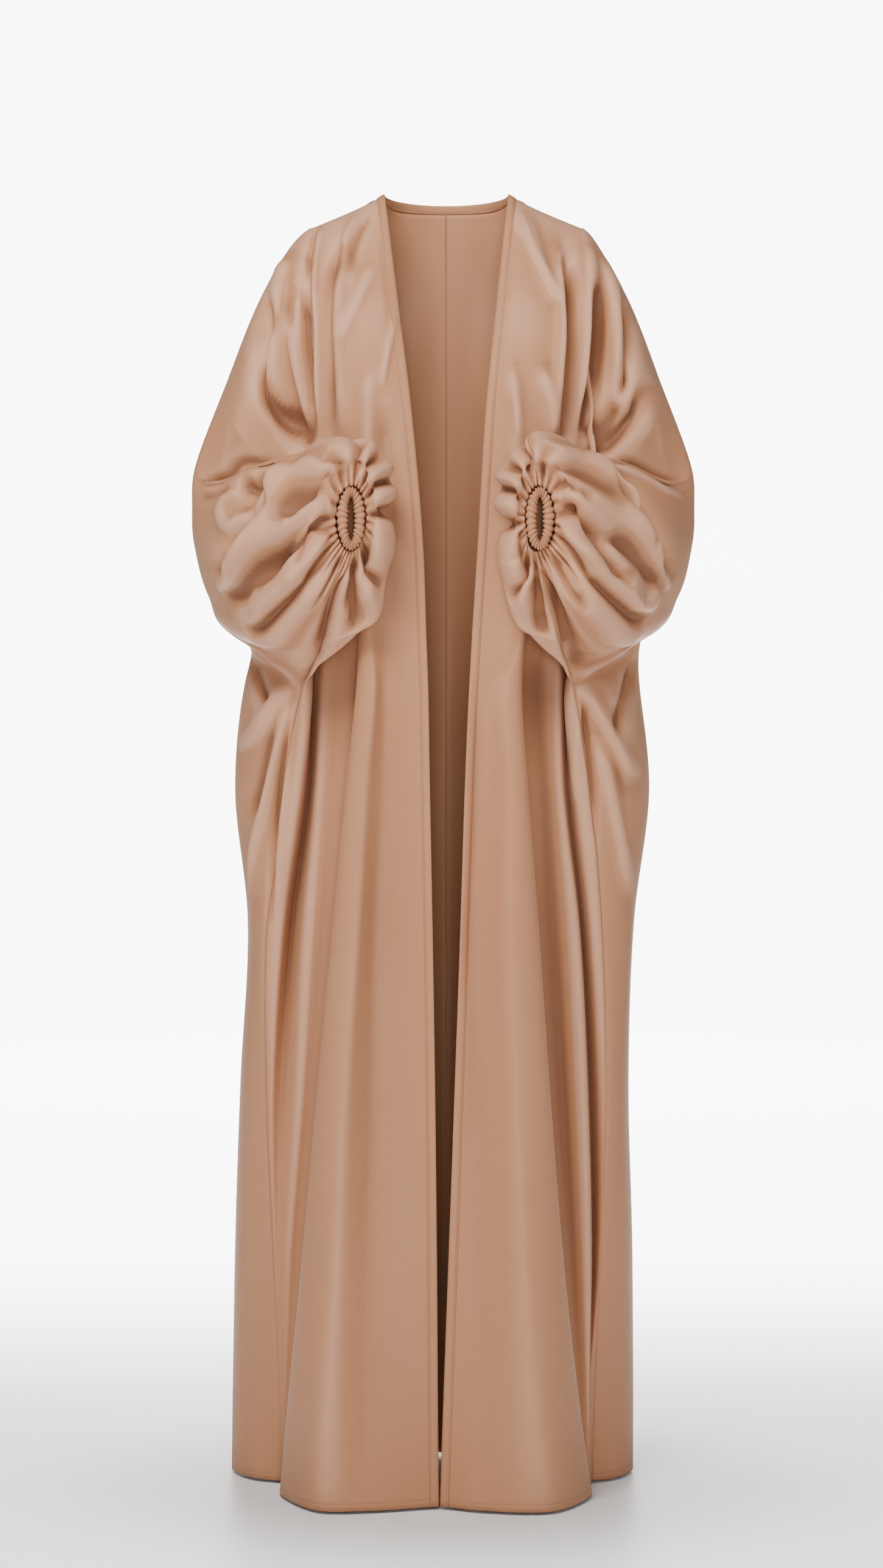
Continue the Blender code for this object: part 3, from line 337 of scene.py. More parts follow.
# %% Lines along the sleeve, (x, y, z) in mm on the right side
SLEEVE = {
    "over": [(-164, 0, -42), (-190, 4, -70), (-221, 8, -124), (-256, 8, -211), (-296, 0, -330),
             (-268, -50, -343), (-217, -98, -327), (-163, -140, -317), (-99, -185, -302),
             (-100, -222, -329)],
    "inner_1": [(-173, -60, -130), (-188, -48, -145), (-213, -62, -182), (-243, -50, -260),
                (-262, -26, -350), (-254, -42, -354), (-212, -80, -348), (-150, -128, -332),
                (-70, -174, -337), (-83, -219, -350)],
    "inner_2": [(-171, -66, -270), (-181, -60, -278), (-196, -64, -298), (-208, -66, -325),
                (-210, -68, -352), (-202, -76, -362), (-176, -98, -366), (-128, -144, -368),
                (-65, -176, -376), (-76, -214, -382)],
    "inner_3": [(-169, -76, -420), (-171, -80, -414), (-172, -83, -409), (-173, -87, -405),
                (-173, -91, -402), (-169, -98, -403), (-152, -116, -411), (-110, -150, -430),
                (-67, -174, -438), (-78, -208, -430)],
    "inner_4": [(-162, -95, -530), (-159, -101, -533), (-155, -108, -537), (-150, -114, -541),
                (-146, -121, -543), (-134, -132, -541), (-118, -145, -535), (-99, -159, -521),
                (-84, -170, -500), (-93, -204, -467)],
    "under": [(-167, -100, -585), (-164, -107, -581), (-161, -113, -577), (-158, -119, -571),
              (-155, -127, -565), (-152, -136, -558), (-147, -147, -547), (-141, -160, -534),
              (-133, -178, -511), (-117, -208, -468)],
    "outer_4": [(-243, 6, -518), (-249, -2, -518), (-252, -12, -520), (-253, -24, -520),
                (-248, -38, -521), (-238, -72, -528), (-222, -106, -534), (-205, -136, -537),
                (-182, -164, -528), (-140, -208, -481)],
    "outer_3": [(-219, 72, -440), (-241, 64, -447), (-262, 50, -456), (-279, 24, -465),
                (-280, -6, -475), (-267, -55, -481), (-252, -100, -488), (-236, -135, -496),
                (-214, -167, -497), (-160, -218, -468)],
    "outer_2": [(-181, 93, -282), (-210, 98, -304), (-250, 88, -345), (-284, 58, -385),
                (-298, 10, -415), (-281, -60, -421), (-256, -110, -421), (-235, -136, -419),
                (-218, -167, -414), (-160, -224, -410)],
    "outer_1": [(-162, 62, -130), (-192, 70, -155), (-228, 68, -205), (-266, 56, -290),
                (-301, 12, -373), (-272, -58, -375), (-233, -104, -364), (-196, -132, -354),
                (-177, -167, -338), (-136, -222, -343)],
}
MOUTH_CENTRE = (-107.5, -210.0, -398.0)
MOUTH_HALF = (17.0, 37.0)
MOUTH_ANGLE = {"over": 82, "inner_1": 50, "inner_2": 12, "inner_3": -20, "inner_4": -55,
               "under": -88, "outer_4": -112, "outer_3": -140, "outer_2": -175, "outer_1": -228}
LEFT_SLEEVE_SPREAD = 0.975
LEFT_UNDERARM_SHIFT = {"under": -15, "inner_4": -9, "outer_4": -6}   # mm, at the corner
print("sleeve lines:", ", ".join(SLEEVE))

# %% [markdown]
# ## Cloth between the lines
# Cloth between two folds is a smooth sheet. A subdivision surface would shrink away from its
# points, so a bicubic patch is used, which goes through every point and leaves each line with the
# same slope on both sides.

# %% A smooth sheet through a net of lines
def slopes(net, knots):
    """Slope at each row of a net, from the chords on both sides of it."""
    step = np.diff(knots)[:, None, None]
    chord = np.diff(net, axis=0) / step
    slope = np.empty_like(net)
    slope[1:-1] = (chord[:-1] * step[1:] + chord[1:] * step[:-1]) / (step[1:] + step[:-1])
    slope[0], slope[-1] = chord[0], chord[-1]
    length = np.linalg.norm(chord, axis=2)
    most = SLOPE_LIMIT * np.minimum(length[:-1], length[1:])
    size = np.linalg.norm(slope[1:-1], axis=2)
    slope[1:-1] *= np.minimum(1, most / np.maximum(size, 1e-9))[..., None]
    return slope


def mean_knots(net, power=0.6):
    """Knots along the first axis of a net, from the mean spacing of its rows."""
    gaps = np.linalg.norm(np.diff(net, axis=0), axis=2).mean(axis=1)
    return np.concatenate(([0.0], np.cumsum(gaps ** power)))


def hermite(t, step):
    """Weights of start, start slope, end and end slope for a stretch that is `step` long."""
    return ((2 * t ** 3 - 3 * t ** 2 + 1), (t ** 3 - 2 * t ** 2 + t) * step,
            (3 * t ** 2 - 2 * t ** 3), (t ** 3 - t ** 2) * step)


class Sheet:
    """A smooth sheet through a net of lines. The first and last lines each way only steer it."""

    def __init__(self, net, rows=None, columns=None):
        self.rows = mean_knots(net) if rows is None else rows
        self.columns = mean_knots(net.transpose(1, 0, 2)) if columns is None else columns
        self.last = len(self.columns) - 3
        self.place = net
        self.down = slopes(net, self.rows)
        turned = net.transpose(1, 0, 2)
        self.across = slopes(turned, self.columns).transpose(1, 0, 2)
        self.twist = self.twists()

    def twists(self):
        return slopes(self.down.transpose(1, 0, 2), self.columns).transpose(1, 0, 2)

    def share_corner(self, column):
        """Leave the underarm corner straight towards the side and underarm seams.

        All four sheets that meet at the corner do so, and their edges then agree.
        """
        row = UNDERARM + 1
        side_seam = self.place[row + 1, column] - self.place[row, column]
        self.down[row, column] = side_seam / (self.rows[row + 1] - self.rows[row])
        if column == 1:
            underarm_seam = self.place[row, column + 1] - self.place[row, column]
            gap = self.columns[column + 1] - self.columns[column]
            self.across[row, column] = underarm_seam / gap
        self.twist = self.twists()
        return self

    def at(self, u, v):
        """Points in mm at column u and row v, counted in lines from the first real one."""
        u, v = np.asarray(u, float) + 1, np.asarray(v, float) + 1
        i = np.clip(v.astype(int), 1, len(self.rows) - 3)
        j = np.clip(u.astype(int), 1, len(self.columns) - 3)
        down = hermite(v - i, np.diff(self.rows)[i])
        across = hermite(u - j, np.diff(self.columns)[j])
        total = 0
        for a in (0, 1):
            for b in (0, 1):
                spot = (i + a, j + b)
                total = total + (self.place[spot] * (down[2 * a] * across[2 * b])[:, None]
                                 + self.down[spot] * (down[2 * a + 1] * across[2 * b])[:, None]
                                 + self.across[spot] * (down[2 * a] * across[2 * b + 1])[:, None]
                                 + self.twist[spot] * (down[2 * a + 1] * across[2 * b + 1])[:, None])
        return total

    def normal(self, u, v, outward):
        """Unit normals, on the side of the sheet that `outward` gives as +1 or -1."""
        tiny = 0.02
        along = self.at(u + tiny, v) - self.at(u - tiny, v)
        down = self.at(u, v + tiny) - self.at(u, v - tiny)
        cross = np.cross(along, down) * outward
        return cross / np.linalg.norm(cross, axis=1)[:, None]


print("sheets pass through their lines")

# %% Lines of one side, by panel
def beyond(line, inner):
    """A steering line that carries on straight past the last one."""
    return 2 * np.asarray(line, float) - np.asarray(inner, float)


def level_line(table, name):
    """One fold line as an array of (x, y, z), one for each level."""
    points = []
    for level, (x, y) in enumerate(table[name]):
        z = shoulder_z(x) if level == 0 else LEVEL_Z[level]
        points.append((x, y, z))
    return np.array(points, float)


def stitch_line(edge, valley):
    """The line BAND_WIDTH in from the open edge, towards the first fold."""
    towards = valley - edge
    return edge + towards / np.linalg.norm(towards, axis=1)[:, None] * BAND_WIDTH


def mouth_point(degrees):
    """Point of the right sleeve's mouth at an angle seen from the front, 90 at the top."""
    turn = np.radians(degrees)
    return (MOUTH_CENTRE[0] + MOUTH_HALF[0] * np.cos(turn), MOUTH_CENTRE[1],
            MOUTH_CENTRE[2] + MOUTH_HALF[1] * np.sin(turn))


def sleeve_lines(side):
    """The sleeve's lines for one side, by name, as arrays of (x, y, z)."""
    lines = {}
    for name, points in SLEEVE.items():
        line = np.array([*points, mouth_point(MOUTH_ANGLE[name])], float)
        if side == LEFT:
            line[:, 0] *= -LEFT_SLEEVE_SPREAD
            fade = np.linspace(1.0, 0.4, len(line))
            line[:, 0] += LEFT_UNDERARM_SHIFT.get(name, 0) * fade
        lines[name] = line
    return lines


def back_lines(side):
    """The back's fold lines for one side, from the centre to the last one before the seam."""
    lines = []
    for name in BACK_RIGHT:
        line = level_line(BACK_RIGHT, name)
        if name in ("centre", "nape"):
            line[0, 2] = BACK_NECK_Z
        if side == LEFT:
            line[:, 0] *= -np.array(LEFT_BACK_SPREAD)
        lines.append(line)
    return lines


def front_lines(side):
    table = FRONT_RIGHT if side == RIGHT else FRONT_LEFT
    lines = [level_line(table, name) for name in table]
    lines.insert(1, stitch_line(lines[0], lines[1]))
    return lines


def flip_y(line):
    return line * (1, -1, 1)


print("right side seam at the hem:", front_lines(RIGHT)[-1][-1])

# %% The sheets of one side: body and sleeve, front and back
def body_sheet(before, lines, past_side, neck_lines, rows=None):
    """Sheet over the fold lines; the shoulder is rounded, and the first neck_lines run straight."""
    net = np.stack([before, *lines, past_side], axis=1)
    top = flip_y(net[1])
    top[:neck_lines] = beyond(net[0, :neck_lines], net[1, :neck_lines])
    sheet = Sheet(np.concatenate(([top], net, [beyond(net[-1], net[-2])])), rows)
    return sheet.share_corner(sheet.last + 1)


def sleeve_sheet(body, rows, next_over, next_under, seam, before_seam, columns=None):
    """Sheet over half a sleeve. It leaves the body along the armhole line without a crease."""
    rows = np.stack(rows)
    over, under = next_over.copy(), next_under.copy()
    over[0] = flip_y(rows[1, 0])
    under[0] = seam[UNDERARM + 1]
    net = np.concatenate(([over], rows, [under]))
    first = np.concatenate(([flip_y(before_seam[1])], before_seam[:UNDERARM + 2]))
    last = beyond(net[:, -1], net[:, -2])
    net = np.concatenate((first[:, None], net, last[:, None]), axis=1)
    return Sheet(net, body.rows[:len(net)], columns).share_corner(1)


def front_sheets(side):
    sleeve = sleeve_lines(side)
    rows = [sleeve[name] for name in ("over", "inner_1", "inner_2", "inner_3", "inner_4", "under")]
    lines = front_lines(side)
    seam = lines[-1]
    for level, row in enumerate(rows):
        row[0] = seam[level]
    behind = back_lines(side)[-1]
    past_side = np.concatenate(([row[1] for row in rows[:UNDERARM]], behind[UNDERARM:]))
    body = body_sheet(beyond(lines[0], lines[1]), lines, past_side, 0)
    return body, sleeve_sheet(body, rows, sleeve["outer_1"], sleeve["outer_4"], seam, lines[-2])


def back_sheets(side, front_body, front_sleeve):
    """The back's two sheets; they share the front's knots, so that the seams agree."""
    sleeve = sleeve_lines(side)
    rows = [sleeve[name] for name in ("over", "outer_1", "outer_2", "outer_3", "outer_4", "under")]
    lines = back_lines(side)
    front = front_lines(side)
    armhole = np.concatenate(([row[0] for row in rows[:UNDERARM]], front[-1][UNDERARM:]))
    armhole[0] = front[-1][0]
    lines.append(armhole)
    for level, row in enumerate(rows):
        row[0] = armhole[level]
    past_side = np.concatenate(([row[1] for row in rows[:UNDERARM]], front[-2][UNDERARM:]))
    body = body_sheet(lines[1] * (-1, 1, 1), lines, past_side, 3, front_body.rows)
    return body, sleeve_sheet(body, rows, sleeve["inner_1"], sleeve["inner_4"], armhole, lines[-2],
                              front_sleeve.columns)


SHEETS = {}
for side in (RIGHT, LEFT):
    front = front_sheets(side)
    back = back_sheets(side, *front)
    SHEETS[side] = {"front": {"body": front[0], "sleeve": front[1]},
                    "back": {"body": back[0], "sleeve": back[1]}}
print("sheets made:", sum(len(faces) for sheets in SHEETS.values() for faces in sheets.values()))

# %% [markdown]
# ## Soft folds and creases
# Between the main lines the crepe breaks into smaller folds: a ridge where it is pushed up, a
# groove where it is drawn in. Each is a stroke, drawn as a few points seen from the front, with a
# width on either side of its path, as a finger would press it into wet plaster. A noise texture
# would be quicker, but folds run from one place of strain to another, which noise can't do.

# %% The frame's folds: name, first and last sleeve section, width, height, path of (x, z) in mm
FOLDS_RIGHT = (
    ("armhole ridge", 0, 10, 7, 7,
     [(-165, -80), (-156, -137), (-156, -175), (-154, -221), (-152, -310)]),
    ("armhole gap", 0, 10, 8, -9,
     [(-174, -110), (-167, -150), (-166, -185), (-163, -230), (-161, -300)]),
    ("chest gap", 0, 0, 9, -7, [(-118, -59), (-131, -94), (-137, -140), (-136, -222), (-134, -301)]),
    ("chest ridge", 0, 0, 10, 5, [(-119, -76), (-127, -129), (-128, -170), (-121, -240), (-118, -297)]),
    ("neck ridge", 0, 0, 7, 4, [(-97, -26), (-112, -47), (-119, -68), (-122, -90)]),
    ("neck gap", 0, 0, 7, -4, [(-92, -28), (-101, -45), (-110, -75), (-112, -105)]),
    ("waist ridge", 0, 0, 12, 4, [(-85, -215), (-90, -246), (-90, -300), (-92, -360)]),
    ("waist gap", 0, 0, 13, -4, [(-67, -259), (-71, -302), (-65, -353), (-62, -420)]),
    ("arm ridge", 0, 10, 10, 6, [(-188, -77), (-195, -103), (-200, -129), (-201, -152)]),
    ("arm edge", 0, 10, 9, 6, [(-195, -146), (-185, -167), (-175, -207), (-166, -252), (-161, -299)]),
    ("arm gap", 0, 10, 12, -12,
     [(-210, -125), (-215, -162), (-215, -200), (-205, -247), (-185, -275), (-160, -308)]),
    ("elbow crease", 3, 10, 8, -4,
     [(-294, -344), (-273, -341), (-256, -335), (-242, -322), (-208, -324), (-181, -320)]),
    ("elbow fine crease", 3, 10, 7, -3, [(-294, -358), (-278, -360), (-262, -355), (-251, -350)]),
    ("pouch ridge", 3, 10, 9, 7,
     [(-247, -354), (-258, -371), (-258, -389), (-250, -400), (-239, -395), (-225, -382), (-207, -365),
      (-189, -342)]),
    ("pouch hollow", 3, 10, 12, -10, [(-240, -348), (-225, -352), (-203, -343)]),
    ("forearm ridge", 4, 10, 12, 10,
     [(-178, -332), (-188, -352), (-204, -380), (-217, -405), (-234, -438), (-248, -458),
      (-264, -471)]),
    ("forearm hollow", 3, 10, 12, -8,
     [(-197, -337), (-215, -375), (-233, -410), (-252, -440), (-274, -455)]),
    ("cuff gap 1", 6, 10, 8, -9, [(-128, -366), (-157, -375), (-175, -388), (-182, -398)]),
    ("cuff ridge 1", 6, 10, 9, 6, [(-128, -376), (-157, -408), (-183, -428), (-199, -443)]),
    ("cuff gap 2", 6, 10, 8, -9, [(-130, -392), (-166, -419), (-192, -441), (-210, -469)]),
    ("cuff ridge 2", 6, 10, 9, 6, [(-128, -402), (-155, -426), (-168, -445), (-172, -476)]),
    ("cuff gap 3", 6, 10, 7, -4, [(-104, -440), (-104, -465), (-107, -498), (-114, -510)]),
    ("cuff gap 4", 6, 10, 6, -6, [(-92, -425), (-90, -450), (-97, -487)]),
    ("overarm gap", 6, 10, 6, -6, [(-100, -302), (-98, -323), (-96, -350)]),
    ("corner crease", 0, 10, 8, -7, [(-232, -542), (-224, -567), (-215, -590), (-208, -606)]),
    ("corner ridge", 0, 0, 10, 6,
     [(-177, -591), (-190, -594), (-204, -605), (-219, -632), (-244, -657)]),
    ("side ridge", 0, 0, 11, 7, [(-178, -600), (-191, -636), (-204, -698), (-216, -750), (-228, -829)]),
    ("side gap", 0, 0, 12, -5, [(-197, -622), (-215, -680), (-228, -740)]),
)
FOLDS_LEFT = (
    ("shoulder ridge", 0, 0, 10, 5, [(89, -26), (98, -54), (108, -84), (117, -112), (127, -140)]),
    ("chest ridge", 0, 0, 8, 8,
     [(131, -69), (131, -105), (133, -147), (133, -175), (128, -233), (125, -290)]),
    ("chest gap", 0, 10, 9, -10, [(142, -80), (144, -120), (146, -170), (143, -235), (139, -300)]),
    ("armhole ridge", 0, 10, 8, 6, [(168, -65), (169, -102), (168, -148), (163, -207), (155, -299)]),
    ("armhole gap", 0, 10, 8, -8, [(178, -100), (178, -150), (173, -207), (164, -290)]),
    ("arm ridge", 0, 10, 10, 6, [(182, -75), (193, -113), (203, -160), (204, -193), (201, -230)]),
    ("arm gap", 0, 10, 9, -7, [(209, -132), (213, -155), (213, -205), (205, -252)]),
    ("arm hollow", 0, 10, 12, -11, [(236, -225), (222, -262), (205, -282), (188, -297), (165, -315)]),
    ("waist ridge", 0, 0, 12, 4, [(74, -215), (79, -258), (80, -300), (80, -340)]),
    ("side waist ridge", 0, 0, 11, 4, [(110, -215), (117, -258), (120, -310)]),
    ("edge gap", 0, 0, 9, -3, [(37, -565), (35, -705), (29, -844), (25, -960)]),
    ("elbow crease", 3, 10, 8, -4,
     [(178, -326), (191, -325), (210, -324), (228, -330), (246, -339), (269, -349), (288, -355)]),
    ("forearm ridge", 4, 10, 12, 10,
     [(155, -324), (172, -341), (190, -357), (203, -374), (214, -398), (228, -424), (240, -448),
      (252, -472)]),
    ("forearm hollow", 3, 10, 12, -6,
     [(188, -335), (212, -365), (230, -400), (246, -432), (262, -460)]),
    ("cuff gap 1", 6, 10, 7, -7, [(118, -367), (133, -362), (150, -365)]),
    ("cuff gap 2", 6, 10, 8, -9,
     [(120, -384), (135, -387), (150, -397), (163, -419), (185, -454), (203, -476)]),
    ("cuff ridge 1", 6, 10, 9, 6, [(122, -376), (145, -380), (168, -398), (190, -428), (208, -455)]),
    ("cuff ridge 2", 6, 10, 9, 6, [(122, -398), (142, -412), (155, -436), (168, -470)]),
    ("pouch ridge", 5, 10, 9, 6,
     [(186, -460), (199, -480), (217, -493), (230, -491), (238, -475), (237, -460)]),
    ("cuff gap 3", 6, 10, 7, -6, [(100, -436), (99, -465), (106, -500)]),
    ("cuff gap 4", 6, 10, 6, -6, [(86, -425), (84, -450), (92, -487)]),
    ("overarm gap", 6, 10, 6, -6, [(95, -303), (94, -318), (93, -350)]),
    ("corner ridge", 0, 0, 10, 6, [(154, -582), (169, -605), (188, -634), (205, -666), (224, -690)]),
    ("corner crease", 0, 10, 9, -6, [(223, -545), (214, -579), (203, -615), (193, -640)]),
    ("side ridge", 0, 0, 11, 6, [(173, -640), (184, -681), (195, -734), (205, -784), (213, -830)]),
)
print("folds in the frame:", len(FOLDS_RIGHT), "right,", len(FOLDS_LEFT), "left")

# %% Finer creases: name, sections, width left and right of the path, height, path of (x, z) in mm
CREASES_RIGHT = (
    ("corner pleat", 0, 0, 7, 4, 5,
     [(-178, -598), (-192, -653), (-208, -723), (-219, -773), (-226, -840), (-228, -900)]),
    ("corner groove", 0, 0, 4, 4, -7,
     [(-176, -598), (-186, -653), (-196, -723), (-202, -790), (-206, -860)]),
    ("corner second pleat", 0, 0, 5, 4, 5,
     [(-173, -594), (-180, -643), (-188, -707), (-194, -773), (-198, -850)]),
    ("sleeve base", 0, 10, 4, 6, 4, [(-229, -536), (-207, -552), (-184, -566), (-171, -580)]),
    ("corner fine ridge", 0, 10, 4, 4, 3, [(-229, -540), (-223, -565), (-206, -607)]),
    ("shoulder pleat 1", 0, 0, 4, 4, -4, [(-148, -34), (-156, -55), (-160, -80), (-161, -110)]),
    ("shoulder pleat 2", 0, 0, 4, 4, 3, [(-152, -36), (-150, -55), (-152, -80), (-154, -120)]),
    ("armhole line", 0, 2, 4, 7, -11,
     [(-163, -70), (-160, -110), (-157, -151), (-156, -191), (-155, -252), (-153, -301)]),
    ("forearm edge", 4, 10, 10, 5, 6,
     [(-177, -335), (-191, -359), (-207, -394), (-225, -428), (-244, -457), (-262, -471)]),
    ("under the edge", 4, 10, 5, 14, -11,
     [(-194, -344), (-207, -369), (-222, -397), (-241, -425), (-256, -443)]),
    ("pouch floor", 3, 10, 9, 9, -9, [(-191, -344), (-213, -350), (-232, -369), (-238, -387)]),
    ("third gap", 5, 10, 16, 5, -14,
     [(-219, -480), (-207, -455), (-188, -424), (-157, -400), (-131, -384)]),
    ("fourth gap", 5, 10, 8, 8, -10,
     [(-126, -412), (-142, -412), (-157, -424), (-166, -443), (-168, -465)]),
    ("fourth petal", 5, 10, 7, 7, 6,
     [(-129, -389), (-145, -394), (-153, -412), (-176, -437), (-188, -468)]),
    ("second gap", 5, 10, 10, 5, -10, [(-191, -406), (-182, -384), (-160, -369), (-132, -362)]),
    ("third petal", 5, 10, 7, 7, 6,
     [(-129, -370), (-148, -378), (-170, -394), (-188, -412), (-204, -434)]),
    ("top hollow", 6, 10, 8, 8, -7, [(-118, -342), (-126, -331), (-139, -330), (-145, -338)]),
    ("low hollow", 5, 10, 6, 6, -10, [(-100, -434), (-103, -462), (-112, -490), (-117, -505)]),
    ("low crease", 5, 10, 6, 4, -7, [(-94, -412), (-89, -443), (-83, -471)]),
    ("underarm groove", 1, 10, 4, 6, -9,
     [(-118, -437), (-121, -465), (-132, -496), (-145, -530), (-157, -561), (-165, -580)]),
    ("arm overlap", 0, 6, 24, 4, -12,
     [(-208, -118), (-212, -155), (-208, -205), (-194, -250), (-172, -285), (-158, -305)]),
    ("chest crease", 0, 0, 4, 9, 4, [(-85, -95), (-97, -125), (-112, -158), (-120, -185)]),
    ("fine chest crease", 0, 0, 3, 6, 3, [(-56, -150), (-66, -190), (-74, -240)]),
)
CREASES_LEFT = (
    ("long shoulder crease", 0, 0, 4, 9, 5,
     [(86, -20), (92, -50), (103, -82), (122, -120), (128, -140)]),
    ("armhole line", 0, 2, 9, 4, -12,
     [(172, -110), (172, -163), (168, -212), (161, -256), (155, -297)]),
    ("chest dark fold", 0, 0, 10, 5, -15,
     [(138, -80), (142, -110), (144, -140), (143, -191), (137, -252), (138, -300)]),
    ("sleeve gap", 0, 6, 13, 5, -9, [(206, -110), (209, -145), (209, -185), (206, -220), (198, -250)]),
    ("elbow wedge", 0, 6, 12, 12, -12, [(202, -250), (184, -276), (167, -300)]),
    ("forearm edge", 4, 10, 5, 12, 7,
     [(148, -305), (177, -334), (202, -361), (219, -390), (236, -424), (245, -449), (259, -473)]),
    ("beyond the edge", 3, 10, 14, 5, -10, [(185, -344), (210, -370), (230, -405), (248, -437)]),
    ("elbow edge", 2, 10, 9, 4, 5,
     [(175, -333), (192, -332), (214, -337), (241, -349), (255, -355), (280, -359)]),
    ("big groove", 5, 10, 16, 5, -14,
     [(126, -386), (143, -386), (158, -398), (172, -424), (189, -456), (206, -471)]),
    ("groove edge", 5, 10, 6, 9, 7,
     [(128, -395), (148, -393), (167, -424), (182, -454), (199, -476), (219, -490)]),
    ("upper gap", 5, 10, 6, 9, -9, [(119, -359), (138, -357), (153, -366), (167, -378)]),
    ("upper petal", 5, 10, 7, 7, 6, [(121, -368), (138, -364), (158, -386), (182, -403), (199, -424)]),
    ("lower gap", 5, 10, 10, 6, -8, [(119, -432), (131, -454), (148, -481), (158, -502)]),
    ("underarm groove", 1, 10, 6, 4, -9,
     [(105, -432), (110, -456), (119, -490), (131, -532), (142, -576)]),
    ("low hollow", 5, 10, 7, 5, -10, [(89, -434), (90, -459), (95, -483), (97, -505)]),
    ("low crease", 5, 10, 4, 5, -7, [(87, -410), (82, -429), (76, -449)]),
    ("corner groove", 0, 0, 4, 4, -7,
     [(146, -590), (156, -600), (160, -625), (165, -655), (170, -700), (174, -760)]),
    ("corner pleat", 0, 0, 4, 5, 4, [(148, -588), (154, -601), (153, -630), (150, -670), (149, -720)]),
    ("corner ridge fine", 0, 0, 6, 6, 5,
     [(152, -585), (165, -601), (185, -636), (202, -668), (212, -700)]),
    ("sleeve base", 0, 10, 4, 6, 5, [(150, -574), (165, -562), (190, -549), (217, -532)]),
    ("waist fine ridge", 0, 0, 6, 4, 3, [(76, -218), (80, -258), (83, -300)]),
    ("side waist fine ridge", 0, 0, 6, 4, 3, [(112, -222), (118, -255), (121, -300)]),
)
CRISP_WIDTH = 0.85
CRISP_RIDGE = 1.3
CRISP_GAP = 1.5


def crisper(folds):
    """The frame's folds, narrower and deeper, as thin crepe breaks them."""
    out = []
    for name, first, last, width, height, path in folds:
        width = round(width * CRISP_WIDTH, 1)
        height = round(height * (CRISP_RIDGE if height > 0 else CRISP_GAP), 1)
        out.append((name, first, last, width, width, height, path))
    return tuple(out)


STROKES = ((RIGHT, "right", crisper(FOLDS_RIGHT) + CREASES_RIGHT),
           (LEFT, "left", crisper(FOLDS_LEFT) + CREASES_LEFT))
print("strokes:", {word: len(strokes) for side, word, strokes in STROKES})

# %% Pressing the strokes into a panel
STROKE_POINTS = 32
STROKE_FADE = 0.22         # share of its length over which a stroke fades at each end
FACING_GAIN = 2.5


def smooth_path(path):
    """A smooth run of (x, z) points through a fold's own few points."""
    net = np.array(path, float)[:, None, :]
    net = np.concatenate(([2 * net[0] - net[1]], net, [2 * net[-1] - net[-2]]))
    knots = mean_knots(net, 0.5)
    slope = slopes(net, knots)
    out = []
    for value in np.linspace(knots[1], knots[-2], STROKE_POINTS):
        i = int(np.clip(np.searchsorted(knots, value, side="right") - 1, 1, len(knots) - 3))
        weights = hermite((value - knots[i]) / (knots[i + 1] - knots[i]), knots[i + 1] - knots[i])
        out.append((net[i] * weights[0] + slope[i] * weights[1]
                    + net[i + 1] * weights[2] + slope[i + 1] * weights[3])[0])
    return np.array(out)


def press(folds, flat, facing, section):
    """How far each point rises, in mm, under all the strokes that reach it."""
    rise = np.zeros(len(flat))
    for name, first, last, left, right, height, path in folds:
        line = smooth_path(path)
        reach = 3 * max(left, right)
        near = ((flat > line.min(axis=0) - reach) & (flat < line.max(axis=0) + reach)).all(axis=1)
        near &= (facing > 0) & (section > first - 1) & (section < last + 1)
        spot = flat[near]
        if not len(spot):
            continue
        start, run = line[:-1], np.diff(line, axis=0)
        offset = spot[:, None, :] - start[None]
        part = np.clip((offset * run).sum(axis=2) / (run ** 2).sum(axis=1), 0, 1)
        gap = offset - part[..., None] * run
        nearest = np.linalg.norm(gap, axis=2).argmin(axis=1)
        every = np.arange(len(spot))
        gap, part, run = gap[every, nearest], part[every, nearest], run[nearest]
        turned = run[:, 0] * gap[:, 1] - run[:, 1] * gap[:, 0]
        width = np.where(turned > 0, left, right)
        along = (nearest + part) / len(start)
        taper = np.clip(np.minimum(along, 1 - along) / STROKE_FADE, 0, 1) ** 0.7
        keep = np.clip(section[near] - first + 1, 0, 1) * np.clip(last + 1 - section[near], 0, 1)
        profile = np.exp(-((gap ** 2).sum(axis=1)) / width ** 2)
        rise[near] += height * taper * profile * keep * facing[near]
    return rise


def facing_front(normals):
    """1 where the cloth looks forwards, falling to 0 where it turns away."""
    return np.clip(-normals[:, 1] * FACING_GAIN, 0, 1)


print("a stroke fades over", STROKE_FADE, "of its length at each end")

# %% [markdown]
# ## Laying a panel
# Front and back panels are each cut in one with half a sleeve, so one mesh holds both. It starts
# as two flat grids of columns and rows, which are moved onto the sheets and merged along the
# armhole line, where the real cloth has no seam. The elbow and the armpit are then eased with
# smooth_vert, as cloth rounds off a fold that a line of points makes too sharp.

# %% Where the grid's columns and rows go
SPACING = 3.3
ROW_SPACING = 7.4
SAME = 1e-6                # places closer than this are one place
MERGE = 0.02               # mm


def places(knots_net, spacing, first, last):
    """Column or row places, counted in lines, about `spacing` mm apart on the sheet."""
    out = [float(first)]
    for i in range(first, last):
        length = np.linalg.norm(knots_net[i + 1] - knots_net[i], axis=-1).max()
        count = max(1, int(np.ceil(length / spacing)))
        out += [i + (k + 1) / count for k in range(count)]
    return np.array(out)


